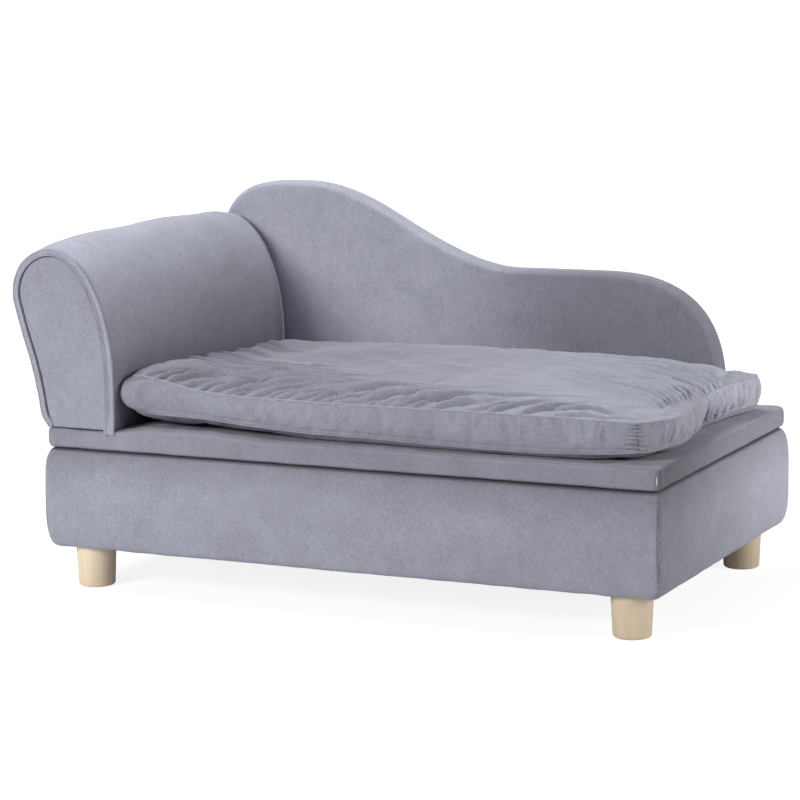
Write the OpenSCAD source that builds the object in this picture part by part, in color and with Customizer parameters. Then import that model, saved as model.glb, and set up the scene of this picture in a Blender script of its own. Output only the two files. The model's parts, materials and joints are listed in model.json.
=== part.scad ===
// Small upholstered sofa bed with a rolled arm, a humped back, a loose seat
// cushion and a storage box under a hinged top. Millimetres, +Z up, front is -Y.
// The origin is on the floor, under the middle of the whole sofa.

/* [Base box] */
// Length of the base box between its end seams
base_l = 724; // [600:1:900]
// Depth of the base box between its front and back seams
base_d = 417; // [340:1:560]
// Height of the covered base box
base_h = 112; // [90:1:180]
// How far the padded base faces swell past their seams
base_crown = 6; // [2:0.5:9]
// Depth of the rounding along the top and bottom edges of the base
base_round = 8; // [4:0.5:10]
// Thickness of the boards round the storage box
side_board_t = 12; // [9:0.5:18]
// Thickness of the floor board
floor_board_t = 9; // [6:0.5:15]
// Thickness of the padding between the seam line and the boards
base_pad_t = 11; // [10:0.5:16]
// Width of the corner posts that take the leg bolts
post_w = 38; // [32:1:50]

/* [Legs] */
// Height of the legs
leg_h = 48; // [35:1:90]
// Diameter of a leg where it meets the base
leg_top_d = 45.5; // [36:0.5:50]
// Diameter of a leg at the floor
leg_foot_d = 41; // [28:0.5:50]
// Rounding of the foot of a leg
leg_round = 3; // [1:0.5:6]
// Distance of the leg centres from the ends of the base
leg_in_x = 39; // [32:0.5:48]
// Distance of the leg centres from the front and back of the base
leg_in_y = 32; // [31:0.5:38]
// Diameter of the leg bolts
leg_bolt_d = 8; // [6:0.5:8]
// Depth of a leg bolt in its leg
leg_bolt_deep = 25; // [15:1:30]

/* [Top board] */
// Thickness of the covered top board
top_t = 23; // [20:0.5:32]
// Gap between the top board and the base
top_gap = 0.6; // [0.5:0.1:1.2]
// How far the edge of the top board swells past its seams
top_crown = 1.5; // [0.5:0.5:2]
// Depth of the rounding along the edges of the top board
top_round = 6; // [3:0.5:7]
// Thickness of the seat board
seat_board_t = 13; // [10:0.5:16]
// Distance of the seat board from the seam line
seat_board_in = 8.5; // [8.5:0.5:12]

/* [Hinges] */
// Length of a hinge
hinge_l = 60; // [40:1:90]
// Distance of each hinge from the middle of the base
hinge_off = 230; // [120:1:260]
// Outer radius of the hinge barrel
barrel_r = 3; // [2.5:0.1:3.2]
// Radius of the hinge pin
hinge_pin_r = 1.5; // [1:0.1:1.8]
// Thickness of a hinge leaf
leaf_t = 1.2; // [1:0.1:1.5]
// Distance of the hinge pin behind the seam line of the base
hinge_out = 2.5; // [2.4:0.1:3.5]

/* [Arm] */
// Height of the arm over the top board
arm_h = 200; // [170:1:260]
// Width of the arm where it stands
arm_w = 88; // [80:1:110]
// Radius of the outer roll of the arm
arm_roll_r = 50.5; // [46:0.5:60]
// Lean of the outer face of the arm, in degrees
arm_lean = 14.6; // [8:0.1:20]
// Height over the top board where the inner face starts to roll over
arm_shoulder = 56; // [30:1:90]
// How far the foot of the arm stands past the end of the top board
arm_out = 2; // [0:0.5:4]
// Distance of the rear end of the arm from the rear seam of the base
arm_rear_in = 7.5; // [4:0.5:30]
// Width of the sewn edge round each end of the arm
welt_w = 7; // [5:0.5:9]
// How far the sewn edge stands proud of the end of the arm
welt_proud = 1.2; // [0.5:0.1:2]
// Thickness of the boards at the ends and foot of the arm
arm_board_t = 12; // [9:0.5:15]
// Thickness of the padding round the arm
arm_foam_t = 10; // [7:0.5:13]
// Thickness of the bent board under the arm padding
arm_bent_t = 2; // [1.5:0.1:3]
// Width of the rails inside the arm
rail_w = 18; // [14:1:22]

/* [Back] */
// Height of the hump of the back over the top board
hump_h = 240.5; // [220:0.5:300]
// Height of the low part of the back over the top board
low_back_h = 144; // [110:1:180]
// Distance of the left end of the back from the left end of the base
back_left_out = 18; // [5:1:30]
// Distance of the right end of the back from the right end of the base
back_right_in = 77.5; // [50:0.5:120]
// Distance of the top of the hump from the left end of the base
hump_in = 109; // [100:1:130]
// Length of the slope between the hump and the low back
slope_l = 280; // [240:1:320]
// Length of the level stretch of the low back
level_l = 105.5; // [60:0.5:120]
// Thickness of the back
back_t = 29; // [26:0.5:36]
// Rounding of the edges of the back
back_round = 9; // [6:0.5:12]
// Gap between the rear seam of the base and the back
back_gap = 3.5; // [3:0.5:6]
// Height of the lower edge of the back over the gap under the top board
back_low = 6.4; // [5.5:0.1:9]
// Thickness of the back board
back_board_t = 12; // [9:0.5:14]
// Thickness of the padding round the edge of the back board
back_edge_pad = 8; // [6:0.5:12]
// Distance between the brackets that carry the back
bracket_pitch = 200; // [150:1:215]

/* [Seat cushion] */
// Distance of the cushion from the front seam of the top board
cushion_front_in = 18.5; // [10:0.5:24]
// Distance of the cushion from the rear seam of the top board
cushion_rear_in = 30.5; // [28:0.5:60]
// Distance of the cushion from the right seam of the top board
cushion_right_in = 22.2; // [10:0.1:90]
// Height of the side strip of the cushion
strip_h = 32; // [24:1:44]
// Height of the lower seam over the top board
seam_lift = 9; // [6:0.5:14]
// How far the top of the cushion swells over its upper seam
cushion_crown = 12; // [6:0.5:20]
// How far the sides are drawn in between the corners
draw_in = 4; // [1:0.5:7]
// How far the side strips hollow between the two seams
strip_hollow = 2.5; // [1:0.5:4]
// Height that the front left corner curls up at the arm
curl_h = 20; // [0:1:30]
// Length over which the curl dies away
curl_l = 130; // [80:1:200]
// Gap between the cushion and the arm
cushion_arm_gap = 0.8; // [0.5:0.1:3]

/* [Zip] */
// Distance of the ends of the zip from the ends of the cushion
zip_end_in = 77.5; // [60:0.5:150]
// Height of the zip tape
zip_tape_w = 12; // [10:0.5:16]
// Height of the row of teeth
zip_teeth_w = 5; // [4:0.5:6]
// Length of the pull tab of the zip
pull_l = 20; // [14:1:24]

/* [Cloth and small parts] */
// Thickness of the velvet cover
cover_t = 1.2; // [0.8:0.1:1.6]
// Thickness of the cloth linings
lining_t = 0.8; // [0.5:0.1:1]
// Gap between soft layers
soft_gap = 0.2; // [0.1:0.05:0.3]
// Clearance round bolts and screws
bolt_gap = 0.15; // [0.1:0.05:0.2]
// Gap between parts that move on each other
move_gap = 0.3; // [0.25:0.05:0.4]
// Diameter of the wood screws
screw_d = 3.5; // [3:0.1:4]
// Length of the wood screws in the boards
screw_l = 28; // [22:1:32]
// Diameter of the bolts that hold the arm
arm_bolt_d = 6; // [5:0.5:6]

/* [Hidden] */
$fn = 48;

velvet = [0.63, 0.63, 0.69];
velvet_light = [0.74, 0.74, 0.79];
velvet_dark = [0.52, 0.52, 0.58];
beech = [0.88, 0.81, 0.68];
plywood = [0.80, 0.67, 0.48];
foam = [0.94, 0.91, 0.80];
wadding = [0.96, 0.96, 0.94];
black_cloth = [0.12, 0.12, 0.13];
grey_cloth = [0.40, 0.40, 0.42];
zinc = [0.70, 0.71, 0.73];
card = [0.62, 0.50, 0.36];

// One overrun for every cut
over = 2;
// Steps along the curved outlines
edge_steps = 12;
arm_steps = 12;
back_steps = 16;
foot_steps = 5;
ring_steps = 3;

// Levels of the base, from the floor up
dust_t = lining_t * 0.75;
base_z0 = leg_h + dust_t;
base_z1 = leg_h + base_h;
floor_z0 = base_z0 + cover_t;
floor_z1 = floor_z0 + floor_board_t;
board_z1 = base_z1 - cover_t;
board_x = base_l / 2 - base_pad_t;
board_y = base_d / 2 - base_pad_t;
box_x = board_x - side_board_t;
box_y = board_y - side_board_t;
leg_x = base_l / 2 - leg_in_x;
leg_y = base_d / 2 - leg_in_y;

// Threaded inserts for the leg bolts
insert_l = 14;
insert_wall = 1.5;
insert_r = leg_bolt_d / 2 + insert_wall;
leg_wood_d = leg_bolt_d * 0.85;

// Places of the screws of the base, as shares of the board that they go through
long_screw_shares = [-0.84, -0.3, 0.3, 0.84];
end_screw_shares = [-0.5, 0.5];
corner_screw_shares = [0.3, 0.75];

// Levels of the top board
top_z0 = base_z1 + top_gap;
top_z1 = top_z0 + top_t;
seat_z0 = top_z0 + cover_t;
seat_z1 = seat_z0 + seat_board_t;
seat_x = base_l / 2 - seat_board_in;
seat_y = base_d / 2 - seat_board_in;
seat_flange = 30;

// Hinge pin and leaves
hinge_y = base_d / 2 + hinge_out;
hinge_z = base_z1 + top_gap / 2;
leaf_gap = top_gap / 2;
leaf_y1 = hinge_y - barrel_r - move_gap;
leaf_y0 = board_y - side_board_t;
knuckles = 5;
knuckle_l = hinge_l / knuckles;
hinge_screw_y = board_y - side_board_t / 2;
hinge_screw_x = hinge_l / 2 - knuckle_l * 0.8;
hinge_screw_l = screw_l * 0.4;

// Arm, from the inside out
arm_in_x = -base_l / 2 - arm_out + arm_w;
arm_foot_x = arm_in_x - arm_w;
arm_z0 = top_z1;
arm_z1 = arm_z0 + arm_h;
roll_z = arm_z1 - arm_roll_r;
roll_x = arm_foot_x + arm_roll_r * cos(arm_lean)
    - tan(arm_lean) * (roll_z - arm_z0 - arm_roll_r * sin(arm_lean));
arm_y0 = -base_d / 2;
arm_y1 = base_d / 2 - arm_rear_in;
welt_deep = 3;
arm_pad_t = 4;
arm_foam_in = cover_t + soft_gap;
arm_bent_in = arm_foam_in + arm_foam_t + soft_gap;
arm_core_in = arm_bent_in + arm_bent_t;
arm_front_y = arm_y0 + cover_t + arm_pad_t + soft_gap;
arm_rear_y = arm_y1 - cover_t - arm_pad_t - soft_gap;
foot_z0 = arm_z0 + cover_t;
foot_z1 = foot_z0 + arm_board_t;
arm_bolt_x = arm_w / 4;
arm_bolt_in = 79;
arm_bolt_y = base_d / 2 - arm_bolt_in;
tee_l = 10;
tee_wall = 1.2;
tee_flange_t = 1.2;
tee_r = arm_bolt_d / 2 + tee_wall;
bolt_head_h = arm_bolt_d * 0.6;
bolt_head_r = arm_bolt_d;

// Rails: under the roll, at its outer side, and at the shoulder
rail_seat = arm_core_in + rail_w / 8;
rail_spots = [
    [roll_x, arm_z1 - rail_seat - rail_w / 2],
    [roll_x - arm_roll_r + rail_seat + rail_w / 2, roll_z],
    [arm_in_x - rail_seat - rail_w / 2, arm_z0 + arm_shoulder]
];

// Back
back_y0 = base_d / 2 + back_gap;
back_y1 = back_y0 + back_t;
back_z0 = base_z1 + back_low;
back_x0 = -base_l / 2 - back_left_out;
back_x1 = base_l / 2 - back_right_in;
hump_x = -base_l / 2 + hump_in;
low_x = hump_x + slope_l;
bend_x = low_x + level_l;
back_board_in = cover_t + back_edge_pad;
back_board_y0 = (back_y0 + back_y1 - back_board_t) / 2;
back_mid_y = (back_y0 + back_y1) / 2;
hump_power = 3.7;
low_power = 2.6;

// Brackets between the seat board and the back board
bracket_t = 2;
bracket_w = 30;
bracket_h = 90;
bracket_l = 78;
bracket_screw_l = screw_l * 0.36;
bracket_down_shares = [0.12, 0.4];
bracket_back_shares = [0.45, 0.8];

// Cushion
cushion_x0 = arm_in_x + cushion_arm_gap;
cushion_x1 = base_l / 2 - cushion_right_in;
cushion_y0 = -base_d / 2 + cushion_front_in;
cushion_y1 = base_d / 2 - cushion_rear_in;
cushion_l = cushion_x1 - cushion_x0;
cushion_d = cushion_y1 - cushion_y0;
cushion_x = (cushion_x0 + cushion_x1) / 2;
cushion_y = (cushion_y0 + cushion_y1) / 2;
cushion_z = top_z1 + move_gap;
pillow_power = 2.6;
belly = seam_lift * 1.8;
corner_pull = draw_in * 1.5;
corner_rise = seam_lift * 0.55;
side_rows = 4;
long_steps = 20;
deep_steps = 9;

// Zip, at the middle height of the rear side strip
zip_z = cushion_z + seam_lift + strip_h / 2;
zip_x0 = cushion_x0 + zip_end_in;
zip_x1 = cushion_x1 - zip_end_in;
zip_y = cushion_y1 - strip_hollow * 0.7 + soft_gap;
tape_t = 0.8;
teeth_t = 0.8;
teeth_y1 = zip_y + tape_t + teeth_t;
slider_l = 11;
slider_wall = 2;
slider_face = 1.6;
slider_y0 = teeth_y1 - teeth_t + move_gap;
slider_y1 = teeth_y1 + move_gap + slider_face;
slider_h = zip_teeth_w + 2 * (move_gap + slider_wall);
slider_x = zip_x0 + slider_l;
pull_pin_r = 0.8;
pull_t = 1.4;
pull_w = 6;
pull_wall = 1.1;
pull_slot_shares = [0.62, 0.84];
pull_eye_r = pull_pin_r + move_gap + pull_wall;
pull_y = slider_y1 + pull_eye_r + move_gap;
ear_wall = 1;
ear_r = pull_pin_r + ear_wall;
ear_t = 1.2;

// Middle of the whole sofa, seen from the middle of the base
reach_left = max(arm_roll_r - roll_x, -back_x0);
reach_right = base_l / 2 + base_crown;
reach_front = max(base_d / 2 + base_crown, welt_proud - arm_y0);
reach_back = back_y1;
mid_x = (reach_right - reach_left) / 2;
mid_y = (reach_back - reach_front) / 2;

// Moves a piece from the middle of the base to the middle of the whole sofa
module placed() {
    translate([-mid_x, -mid_y, 0]) children();
}

// Outline points

function unit(v) = v / norm(v);
function left_of(v) = [-v[1], v[0]];

// A closed outline drawn in by d, all round
function drawn_in(pts, d) = [
    for (i = [0 : len(pts) - 1])
        let (
            before = pts[(i + len(pts) - 1) % len(pts)],
            after = pts[(i + 1) % len(pts)],
            n1 = left_of(unit(pts[i] - before)),
            n2 = left_of(unit(after - pts[i]))
        )
        pts[i] + d * (n1 + n2) / (1 + n1 * n2)
];

// Side of a padded block: rounded at both ends and swollen at mid height
function swell_x(a, half, swell, edge) = half - edge + (edge + swell) * cos(a);
function swell_z(a, h) = h / 2 + h / 2 * sign(a) * pow(abs(sin(a)), 2 / 3);
function swollen_outline(l, h, swell, edge) = concat(
    [for (k = [0 : edge_steps])
        let (a = -90 + 180 * k / edge_steps)
        [swell_x(a, l / 2, swell, edge), swell_z(a, h)]],
    [for (k = [0 : edge_steps])
        let (a = 90 - 180 * k / edge_steps)
        [-swell_x(a, l / 2, swell, edge), swell_z(a, h)]]
);

// Outline of the arm drawn in by e, with its foot at height z
function arm_curve(a, e) =
    let (
        w = arm_in_x - roll_x,
        h = arm_h - arm_shoulder,
        n = unit([cos(a) / w, sin(a) / h])
    )
    [roll_x + w * cos(a), arm_z0 + arm_shoulder + h * sin(a)] - e * n;
function arm_roll(a, e) = [roll_x, roll_z] + (arm_roll_r - e) * [cos(a), sin(a)];
function arm_outline(e, z) =
    let (
        turn = 180 + arm_lean,
        last = arm_roll(turn, e)
    )
    concat(
        [[last[0] + tan(arm_lean) * (last[1] - z), z], [arm_in_x - e, z]],
        [for (k = [0 : arm_steps]) arm_curve(90 * k / arm_steps, e)],
        [for (k = [1 : arm_steps]) arm_roll(90 + (turn - 90) * k / arm_steps, e)]
    );

// Outline of the back: hump, slope, level stretch and round right end
function bulge(a, p) = pow(abs(sin(a)), 2 / p);
back_outline = concat(
    [[back_x0, back_z0], [back_x1, back_z0]],
    [for (k = [0 : back_steps])
        let (a = 90 * k / back_steps)
        [bend_x + (back_x1 - bend_x) * bulge(90 - a, low_power),
         top_z1 + low_back_h * bulge(a, low_power)]],
    [for (k = [0 : back_steps])
        let (s = k / back_steps)
        [low_x + (hump_x - low_x) * s,
         top_z1 + low_back_h + (hump_h - low_back_h) * (1 - cos(180 * s)) / 2]],
    [for (k = [1 : back_steps])
        let (a = 90 - 90 * k / back_steps)
        [hump_x + (back_x0 - hump_x) * bulge(90 - a, hump_power),
         top_z1 + hump_h * bulge(a, hump_power)]]
);

// Solids that several pieces share

// Padded block with swollen sides and sewn upright corners, on z = 0
module swollen_block(l, d, h, swell, edge) {
    intersection() {
        rotate([90, 0, 0])
            linear_extrude(height = d + 2 * (swell + over), center = true)
                polygon(swollen_outline(l, h, swell, edge));
        rotate([90, 0, 90])
            linear_extrude(height = l + 2 * (swell + over), center = true)
                polygon(swollen_outline(d, h, swell, edge));
    }
}

// Block of half sizes x and y between two heights
module slab(x, y, z0, z1) {
    translate([-x, -y, z0]) cube([2 * x, 2 * y, z1 - z0]);
}

// Block between two corners
module span(a, b) {
    translate(a) cube(b - a);
}

// Outline in X and Z, pushed back from y0 to y1
module pushed(y0, y1) {
    translate([0, y1, 0]) rotate([90, 0, 0]) linear_extrude(height = y1 - y0) children();
}

// Upright pin from z0 to z1
module pin(r, z0, z1) {
    translate([0, 0, z0]) cylinder(r = r, h = z1 - z0);
}

module at_corners(x, y) {
    for (sx = [-1, 1]) {
        for (sy = [-1, 1]) {
            translate([sx * x, sy * y, 0]) children();
        }
    }
}

// Countersunk wood screw, head at z = 0, pointing down
module wood_screw(d, l, gap = 0) {
    head_h = d * 0.45;
    translate([0, 0, -l - gap]) cylinder(d = d + 2 * gap, h = l + gap);
    translate([0, 0, -head_h - gap]) cylinder(d1 = d + 2 * gap, d2 = 2 * d + 2 * gap, h = head_h + gap);
}

// Base box

module base_inner_block(extra) {
    translate([0, 0, floor_z0])
        swollen_block(base_l - 2 * (cover_t + extra), base_d - 2 * (cover_t + extra),
            board_z1 - floor_z0, base_crown, base_round);
}

// Places of the screws from the floor board up into the side boards
module at_floor_screws() {
    for (share = long_screw_shares) {
        for (sy = [-1, 1]) {
            translate([share * box_x, sy * (board_y - side_board_t / 2), floor_z0]) children();
        }
    }
    for (sx = [-1, 1]) {
        for (share = end_screw_shares) {
            translate([sx * (board_x - side_board_t / 2), share * box_y, floor_z0]) children();
        }
    }
}

// Places of the screws through the long boards into the end boards
module at_corner_screws() {
    for (sx = [-1, 1]) {
        for (sy = [-1, 1]) {
            for (share = corner_screw_shares) {
                translate([sx * (board_x - side_board_t / 2), sy * board_y,
                    floor_z1 + (board_z1 - floor_z1) * share])
                    rotate([-sy * 90, 0, 0]) children();
            }
        }
    }
}

module floor_screw(gap = 0) {
    mirror([0, 0, 1]) wood_screw(screw_d, screw_l, gap);
}

module corner_screw(gap = 0) {
    wood_screw(screw_d, screw_l, gap);
}

module base_floor_board() {
    color(plywood) placed() difference() {
        slab(board_x, board_y, floor_z0, floor_z1);
        at_floor_screws() floor_screw(bolt_gap);
        at_corners(leg_x, leg_y) pin(leg_bolt_d / 2 + bolt_gap, floor_z0 - over, floor_z1 + over);
    }
}

module long_board(side) {
    difference() {
        span([-board_x, min(side * board_y, side * box_y), floor_z1],
            [board_x, max(side * board_y, side * box_y), board_z1]);
        at_floor_screws() floor_screw(bolt_gap);
        at_corner_screws() corner_screw(bolt_gap);
    }
}

module base_front_board() {
    color(plywood) placed() long_board(-1);
}

module base_back_board() {
    color(plywood) placed() difference() {
        long_board(1);
        hinge_places() leaf_room(-1);
        hinge_places() base_hinge_screws(bolt_gap);
    }
}

module end_board(side) {
    difference() {
        span([min(side * board_x, side * box_x), -box_y, floor_z1],
            [max(side * board_x, side * box_x), box_y, board_z1]);
        at_floor_screws() floor_screw(bolt_gap);
        at_corner_screws() corner_screw(bolt_gap);
    }
}

module base_left_board() {
    color(plywood) placed() end_board(-1);
}

module base_right_board() {
    color(plywood) placed() end_board(1);
}

// Four posts glued in the corners of the box, bored for the leg inserts
module corner_posts() {
    half = post_w / 2;
    color(beech) placed() difference() {
        at_corners(box_x - half, box_y - half) slab(half, half, floor_z1, board_z1);
        at_corners(leg_x, leg_y)
            pin(insert_r + bolt_gap, floor_z1 - over, floor_z1 + insert_l + bolt_gap);
    }
}

// Padding ring of the base, before it is cut into four pads
module base_pad_ring() {
    difference() {
        base_inner_block(soft_gap);
        slab(board_x + soft_gap, board_y + soft_gap, floor_z0 - over, board_z1 + over);
    }
}

module base_long_pad(side) {
    reach = base_l / 2 + base_crown + over;
    intersection() {
        base_pad_ring();
        span([-reach, min(side * (board_y + soft_gap), side * base_d), floor_z0 - over],
            [reach, max(side * (board_y + soft_gap), side * base_d), board_z1 + over]);
    }
}

module base_end_pad(side) {
    intersection() {
        base_pad_ring();
        span([min(side * board_x, side * base_l), -board_y, floor_z0 - over],
            [max(side * board_x, side * base_l), board_y, board_z1 + over]);
    }
}

module base_front_pad() {
    color(foam) placed() base_long_pad(-1);
}

module base_back_pad() {
    color(foam) placed() difference() {
        base_long_pad(1);
        hinge_places() leaf_room(-1);
    }
}

module base_left_pad() {
    color(foam) placed() base_end_pad(-1);
}

module base_right_pad() {
    color(foam) placed() base_end_pad(1);
}

// Velvet over the four sides, folded in over the boards and under the floor
module base_cover() {
    color(velvet) placed() difference() {
        translate([0, 0, base_z0])
            swollen_block(base_l, base_d, base_z1 - base_z0, base_crown, base_round);
        base_inner_block(0);
        slab(box_x, box_y, base_z0 - over, base_z1 + over);
        hinge_places() leaf_room(-1);
    }
}

// Outline of the storage space drawn in by e, stepped round the corner posts
module storage_outline(e) {
    difference() {
        square([2 * (box_x - e), 2 * (box_y - e)], center = true);
        at_corners(box_x, box_y) square(2 * (post_w + e), center = true);
    }
}

module storage_lining() {
    color(grey_cloth) placed() difference() {
        translate([0, 0, floor_z1]) linear_extrude(height = board_z1 - floor_z1) storage_outline(soft_gap);
        translate([0, 0, floor_z1 + lining_t])
            linear_extrude(height = board_z1 - floor_z1) storage_outline(soft_gap + lining_t);
    }
}

module dust_cloth() {
    color(black_cloth) placed() difference() {
        slab(base_l / 2 - base_round - cover_t, base_d / 2 - base_round - cover_t, leg_h, base_z0);
        at_corners(leg_x, leg_y) pin(leg_bolt_d / 2 + bolt_gap, leg_h - over, base_z0 + over);
    }
}

// Legs

module leg() {
    foot_r = leg_foot_d / 2;
    rotate_extrude($fn = 96) difference() {
        polygon(concat(
            [[0, 0]],
            [for (k = [0 : foot_steps])
                let (a = -90 + 90 * k / foot_steps)
                [foot_r - leg_round + leg_round * cos(a), leg_round + leg_round * sin(a)]],
            [[leg_top_d / 2, leg_h], [0, leg_h]]
        ));
        translate([0, leg_h - leg_bolt_deep - bolt_gap])
            square([leg_wood_d / 2 + bolt_gap, leg_bolt_deep + over]);
    }
}

module leg_front_left() {
    color(beech) placed() translate([-leg_x, -leg_y, 0]) leg();
}

module leg_front_right() {
    color(beech) placed() translate([leg_x, -leg_y, 0]) leg();
}

module leg_rear_left() {
    color(beech) placed() translate([-leg_x, leg_y, 0]) leg();
}

module leg_rear_right() {
    color(beech) placed() translate([leg_x, leg_y, 0]) leg();
}

// Bolts with a wood thread in the leg and a machine thread in the insert
module leg_bolts() {
    color(zinc) placed() at_corners(leg_x, leg_y) {
        pin(leg_wood_d / 2, leg_h - leg_bolt_deep, leg_h + dust_t);
        pin(leg_bolt_d / 2, leg_h + dust_t, floor_z1 + insert_l - bolt_gap);
    }
}

module leg_inserts() {
    color(zinc) placed() at_corners(leg_x, leg_y) difference() {
        pin(insert_r, floor_z1, floor_z1 + insert_l);
        pin(leg_bolt_d / 2 + bolt_gap, floor_z1 - over, floor_z1 + insert_l + over);
    }
}

module floor_screws() {
    color(zinc) placed() at_floor_screws() floor_screw();
}

module corner_screws() {
    color(zinc) placed() at_corner_screws() corner_screw();
}

// Hinges, drawn about their pin: the side is -1 for the base and 1 for the top

module hinge_places() {
    for (sx = [-1, 1]) {
        translate([sx * hinge_off, hinge_y, hinge_z]) children();
    }
}

function leaf_low(side) = side < 0 ? -leaf_gap / 2 - leaf_t : leaf_gap / 2;

// Barrel pieces and tabs of one leaf: knuckles 0, 2 and 4, or 1 and 3
module hinge_leaf(side) {
    first = side < 0 ? 0 : 1;
    difference() {
        union() {
            span([-hinge_l / 2, leaf_y0 - hinge_y, leaf_low(side)],
                [hinge_l / 2, leaf_y1 - hinge_y, leaf_low(side) + leaf_t]);
            for (k = [first : 2 : knuckles - 1]) {
                x0 = -hinge_l / 2 + k * knuckle_l + (k == 0 ? 0 : move_gap / 2);
                x1 = -hinge_l / 2 + (k + 1) * knuckle_l - (k == knuckles - 1 ? 0 : move_gap / 2);
                translate([x0, 0, 0]) rotate([0, 90, 0]) cylinder(r = barrel_r, h = x1 - x0);
                span([x0, -barrel_r - move_gap, leaf_low(side)], [x1, 0, leaf_low(side) + leaf_t]);
            }
        }
        translate([-hinge_l / 2 - over, 0, 0]) rotate([0, 90, 0])
            cylinder(r = hinge_pin_r + bolt_gap, h = hinge_l + 2 * over);
    }
}

// Room for one leaf in the cloth, the padding and the board that carry it
module leaf_room(side) {
    z0 = side < 0 ? min(leaf_low(side), board_z1 - hinge_z) : -top_gap;
    z1 = side < 0 ? top_gap : max(leaf_low(side) + leaf_t, seat_z0 - hinge_z);
    span([-hinge_l / 2 - move_gap, leaf_y0 - hinge_y - move_gap, z0],
        [hinge_l / 2 + move_gap, barrel_r, z1]);
}

module at_hinge_screws() {
    for (x = [-hinge_screw_x, 0, hinge_screw_x]) {
        translate([x, hinge_screw_y - hinge_y, 0]) children();
    }
}

module base_hinge_screws(gap = 0) {
    at_hinge_screws() translate([0, 0, leaf_low(-1) + leaf_t])
        wood_screw(screw_d * 0.72, hinge_screw_l, gap);
}

module top_hinge_screws(gap = 0) {
    at_hinge_screws() translate([0, 0, leaf_low(1)])
        mirror([0, 0, 1]) wood_screw(screw_d * 0.72, hinge_screw_l, gap);
}

module hinge_base_leaves() {
    color(zinc) placed() hinge_places() difference() {
        hinge_leaf(-1);
        base_hinge_screws(bolt_gap);
    }
}

module hinge_top_leaves() {
    color(zinc) placed() hinge_places() difference() {
        hinge_leaf(1);
        top_hinge_screws(bolt_gap);
    }
}

module hinge_pins() {
    color(zinc) placed() hinge_places() translate([-hinge_l / 2, 0, 0]) rotate([0, 90, 0])
        cylinder(r = hinge_pin_r, h = hinge_l);
}

module hinge_base_screws() {
    color(zinc) placed() hinge_places() base_hinge_screws();
}

module hinge_top_screws() {
    color(zinc) placed() hinge_places() top_hinge_screws();
}

// Top board

// Bores of the four bolts that hold the arm, between two heights
module arm_bolt_bores(r, z0, z1) {
    translate([arm_in_x - arm_w / 2, 0, 0]) at_corners(arm_bolt_x, arm_bolt_y) pin(r, z0, z1);
}

// The three steel brackets, grown by a gap where they need room
module bracket_places() {
    for (k = [-1 : 1]) {
        translate([k * bracket_pitch, 0, 0]) children();
    }
}

module bracket(gap = 0) {
    y1 = back_board_y0;
    half = bracket_w / 2 + gap;
    span([-half, y1 - bracket_l - gap, seat_z1 - gap], [half, y1 + gap, seat_z1 + bracket_t + gap]);
    span([-half, y1 - bracket_t - gap, seat_z1 - gap], [half, y1 + gap, seat_z1 + bracket_h + gap]);
}

module bracket_down_screws(gap = 0) {
    for (share = bracket_down_shares) {
        translate([0, back_board_y0 - bracket_l * (1 - share), seat_z1 + bracket_t])
            wood_screw(screw_d, bracket_screw_l, gap);
    }
}

module bracket_back_screws(gap = 0) {
    for (share = bracket_back_shares) {
        translate([0, back_board_y0 - bracket_t, seat_z1 + bracket_h * share])
            rotate([90, 0, 0]) wood_screw(screw_d, bracket_screw_l, gap);
    }
}

module seat_board() {
    color(plywood) placed() difference() {
        slab(seat_x, seat_y, seat_z0, seat_z1);
        arm_bolt_bores(arm_bolt_d / 2 + bolt_gap, seat_z0 - over, seat_z1 + over);
        arm_bolt_bores(bolt_head_r + bolt_gap, seat_z0 - over, seat_z0 + bolt_head_h + bolt_gap);
        bracket_places() bracket_down_screws(bolt_gap);
        hinge_places() leaf_room(1);
        hinge_places() top_hinge_screws(bolt_gap);
    }
}

module seat_inner_block(extra) {
    translate([0, 0, seat_z0])
        swollen_block(base_l - 2 * (cover_t + extra), base_d - 2 * (cover_t + extra),
            top_t - 2 * cover_t, top_crown, top_round);
}

// Padding over the top and round the edges of the seat board
module seat_foam() {
    color(foam) placed() difference() {
        seat_inner_block(soft_gap);
        slab(seat_x + soft_gap, seat_y + soft_gap, seat_z0 - over, seat_z1);
        bracket_places() bracket(soft_gap);
        arm_bolt_bores(arm_bolt_d / 2 + bolt_gap, seat_z0, top_z1 + over);
        hinge_places() leaf_room(1);
    }
}

// Velvet over the top board, folded in under its edges
module seat_cover() {
    color(velvet) placed() difference() {
        translate([0, 0, top_z0]) swollen_block(base_l, base_d, top_t, top_crown, top_round);
        seat_inner_block(0);
        slab(base_l / 2 - seat_flange, base_d / 2 - seat_flange, top_z0 - over, seat_z0 + over);
        bracket_places() bracket(soft_gap);
        arm_bolt_bores(arm_bolt_d / 2 + bolt_gap, seat_z0, top_z1 + over);
        arm_bolt_bores(bolt_head_r + bolt_gap, top_z0 - over, seat_z0 + over);
        hinge_places() leaf_room(1);
    }
}

module seat_lining() {
    color(grey_cloth) placed() difference() {
        slab(base_l / 2 - seat_flange - soft_gap, base_d / 2 - seat_flange - soft_gap,
            seat_z0 - lining_t, seat_z0);
        hinge_places() leaf_room(1);
    }
}

// Arm

module arm_section(y0, y1, e, z) {
    pushed(y0, y1) polygon(arm_outline(e, z));
}

module at_rails() {
    for (spot = rail_spots) {
        translate([spot[0], 0, spot[1]]) children();
    }
}

module rail_screw_pair(gap = 0) {
    translate([0, arm_front_y, 0]) rotate([90, 0, 0]) wood_screw(screw_d, screw_l, gap);
    translate([0, arm_rear_y, 0]) rotate([-90, 0, 0]) wood_screw(screw_d, screw_l, gap);
}

module arm_end_board(y0, y1) {
    difference() {
        arm_section(y0, y1, arm_core_in, foot_z0);
        at_rails() rail_screw_pair(bolt_gap);
    }
}

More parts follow.
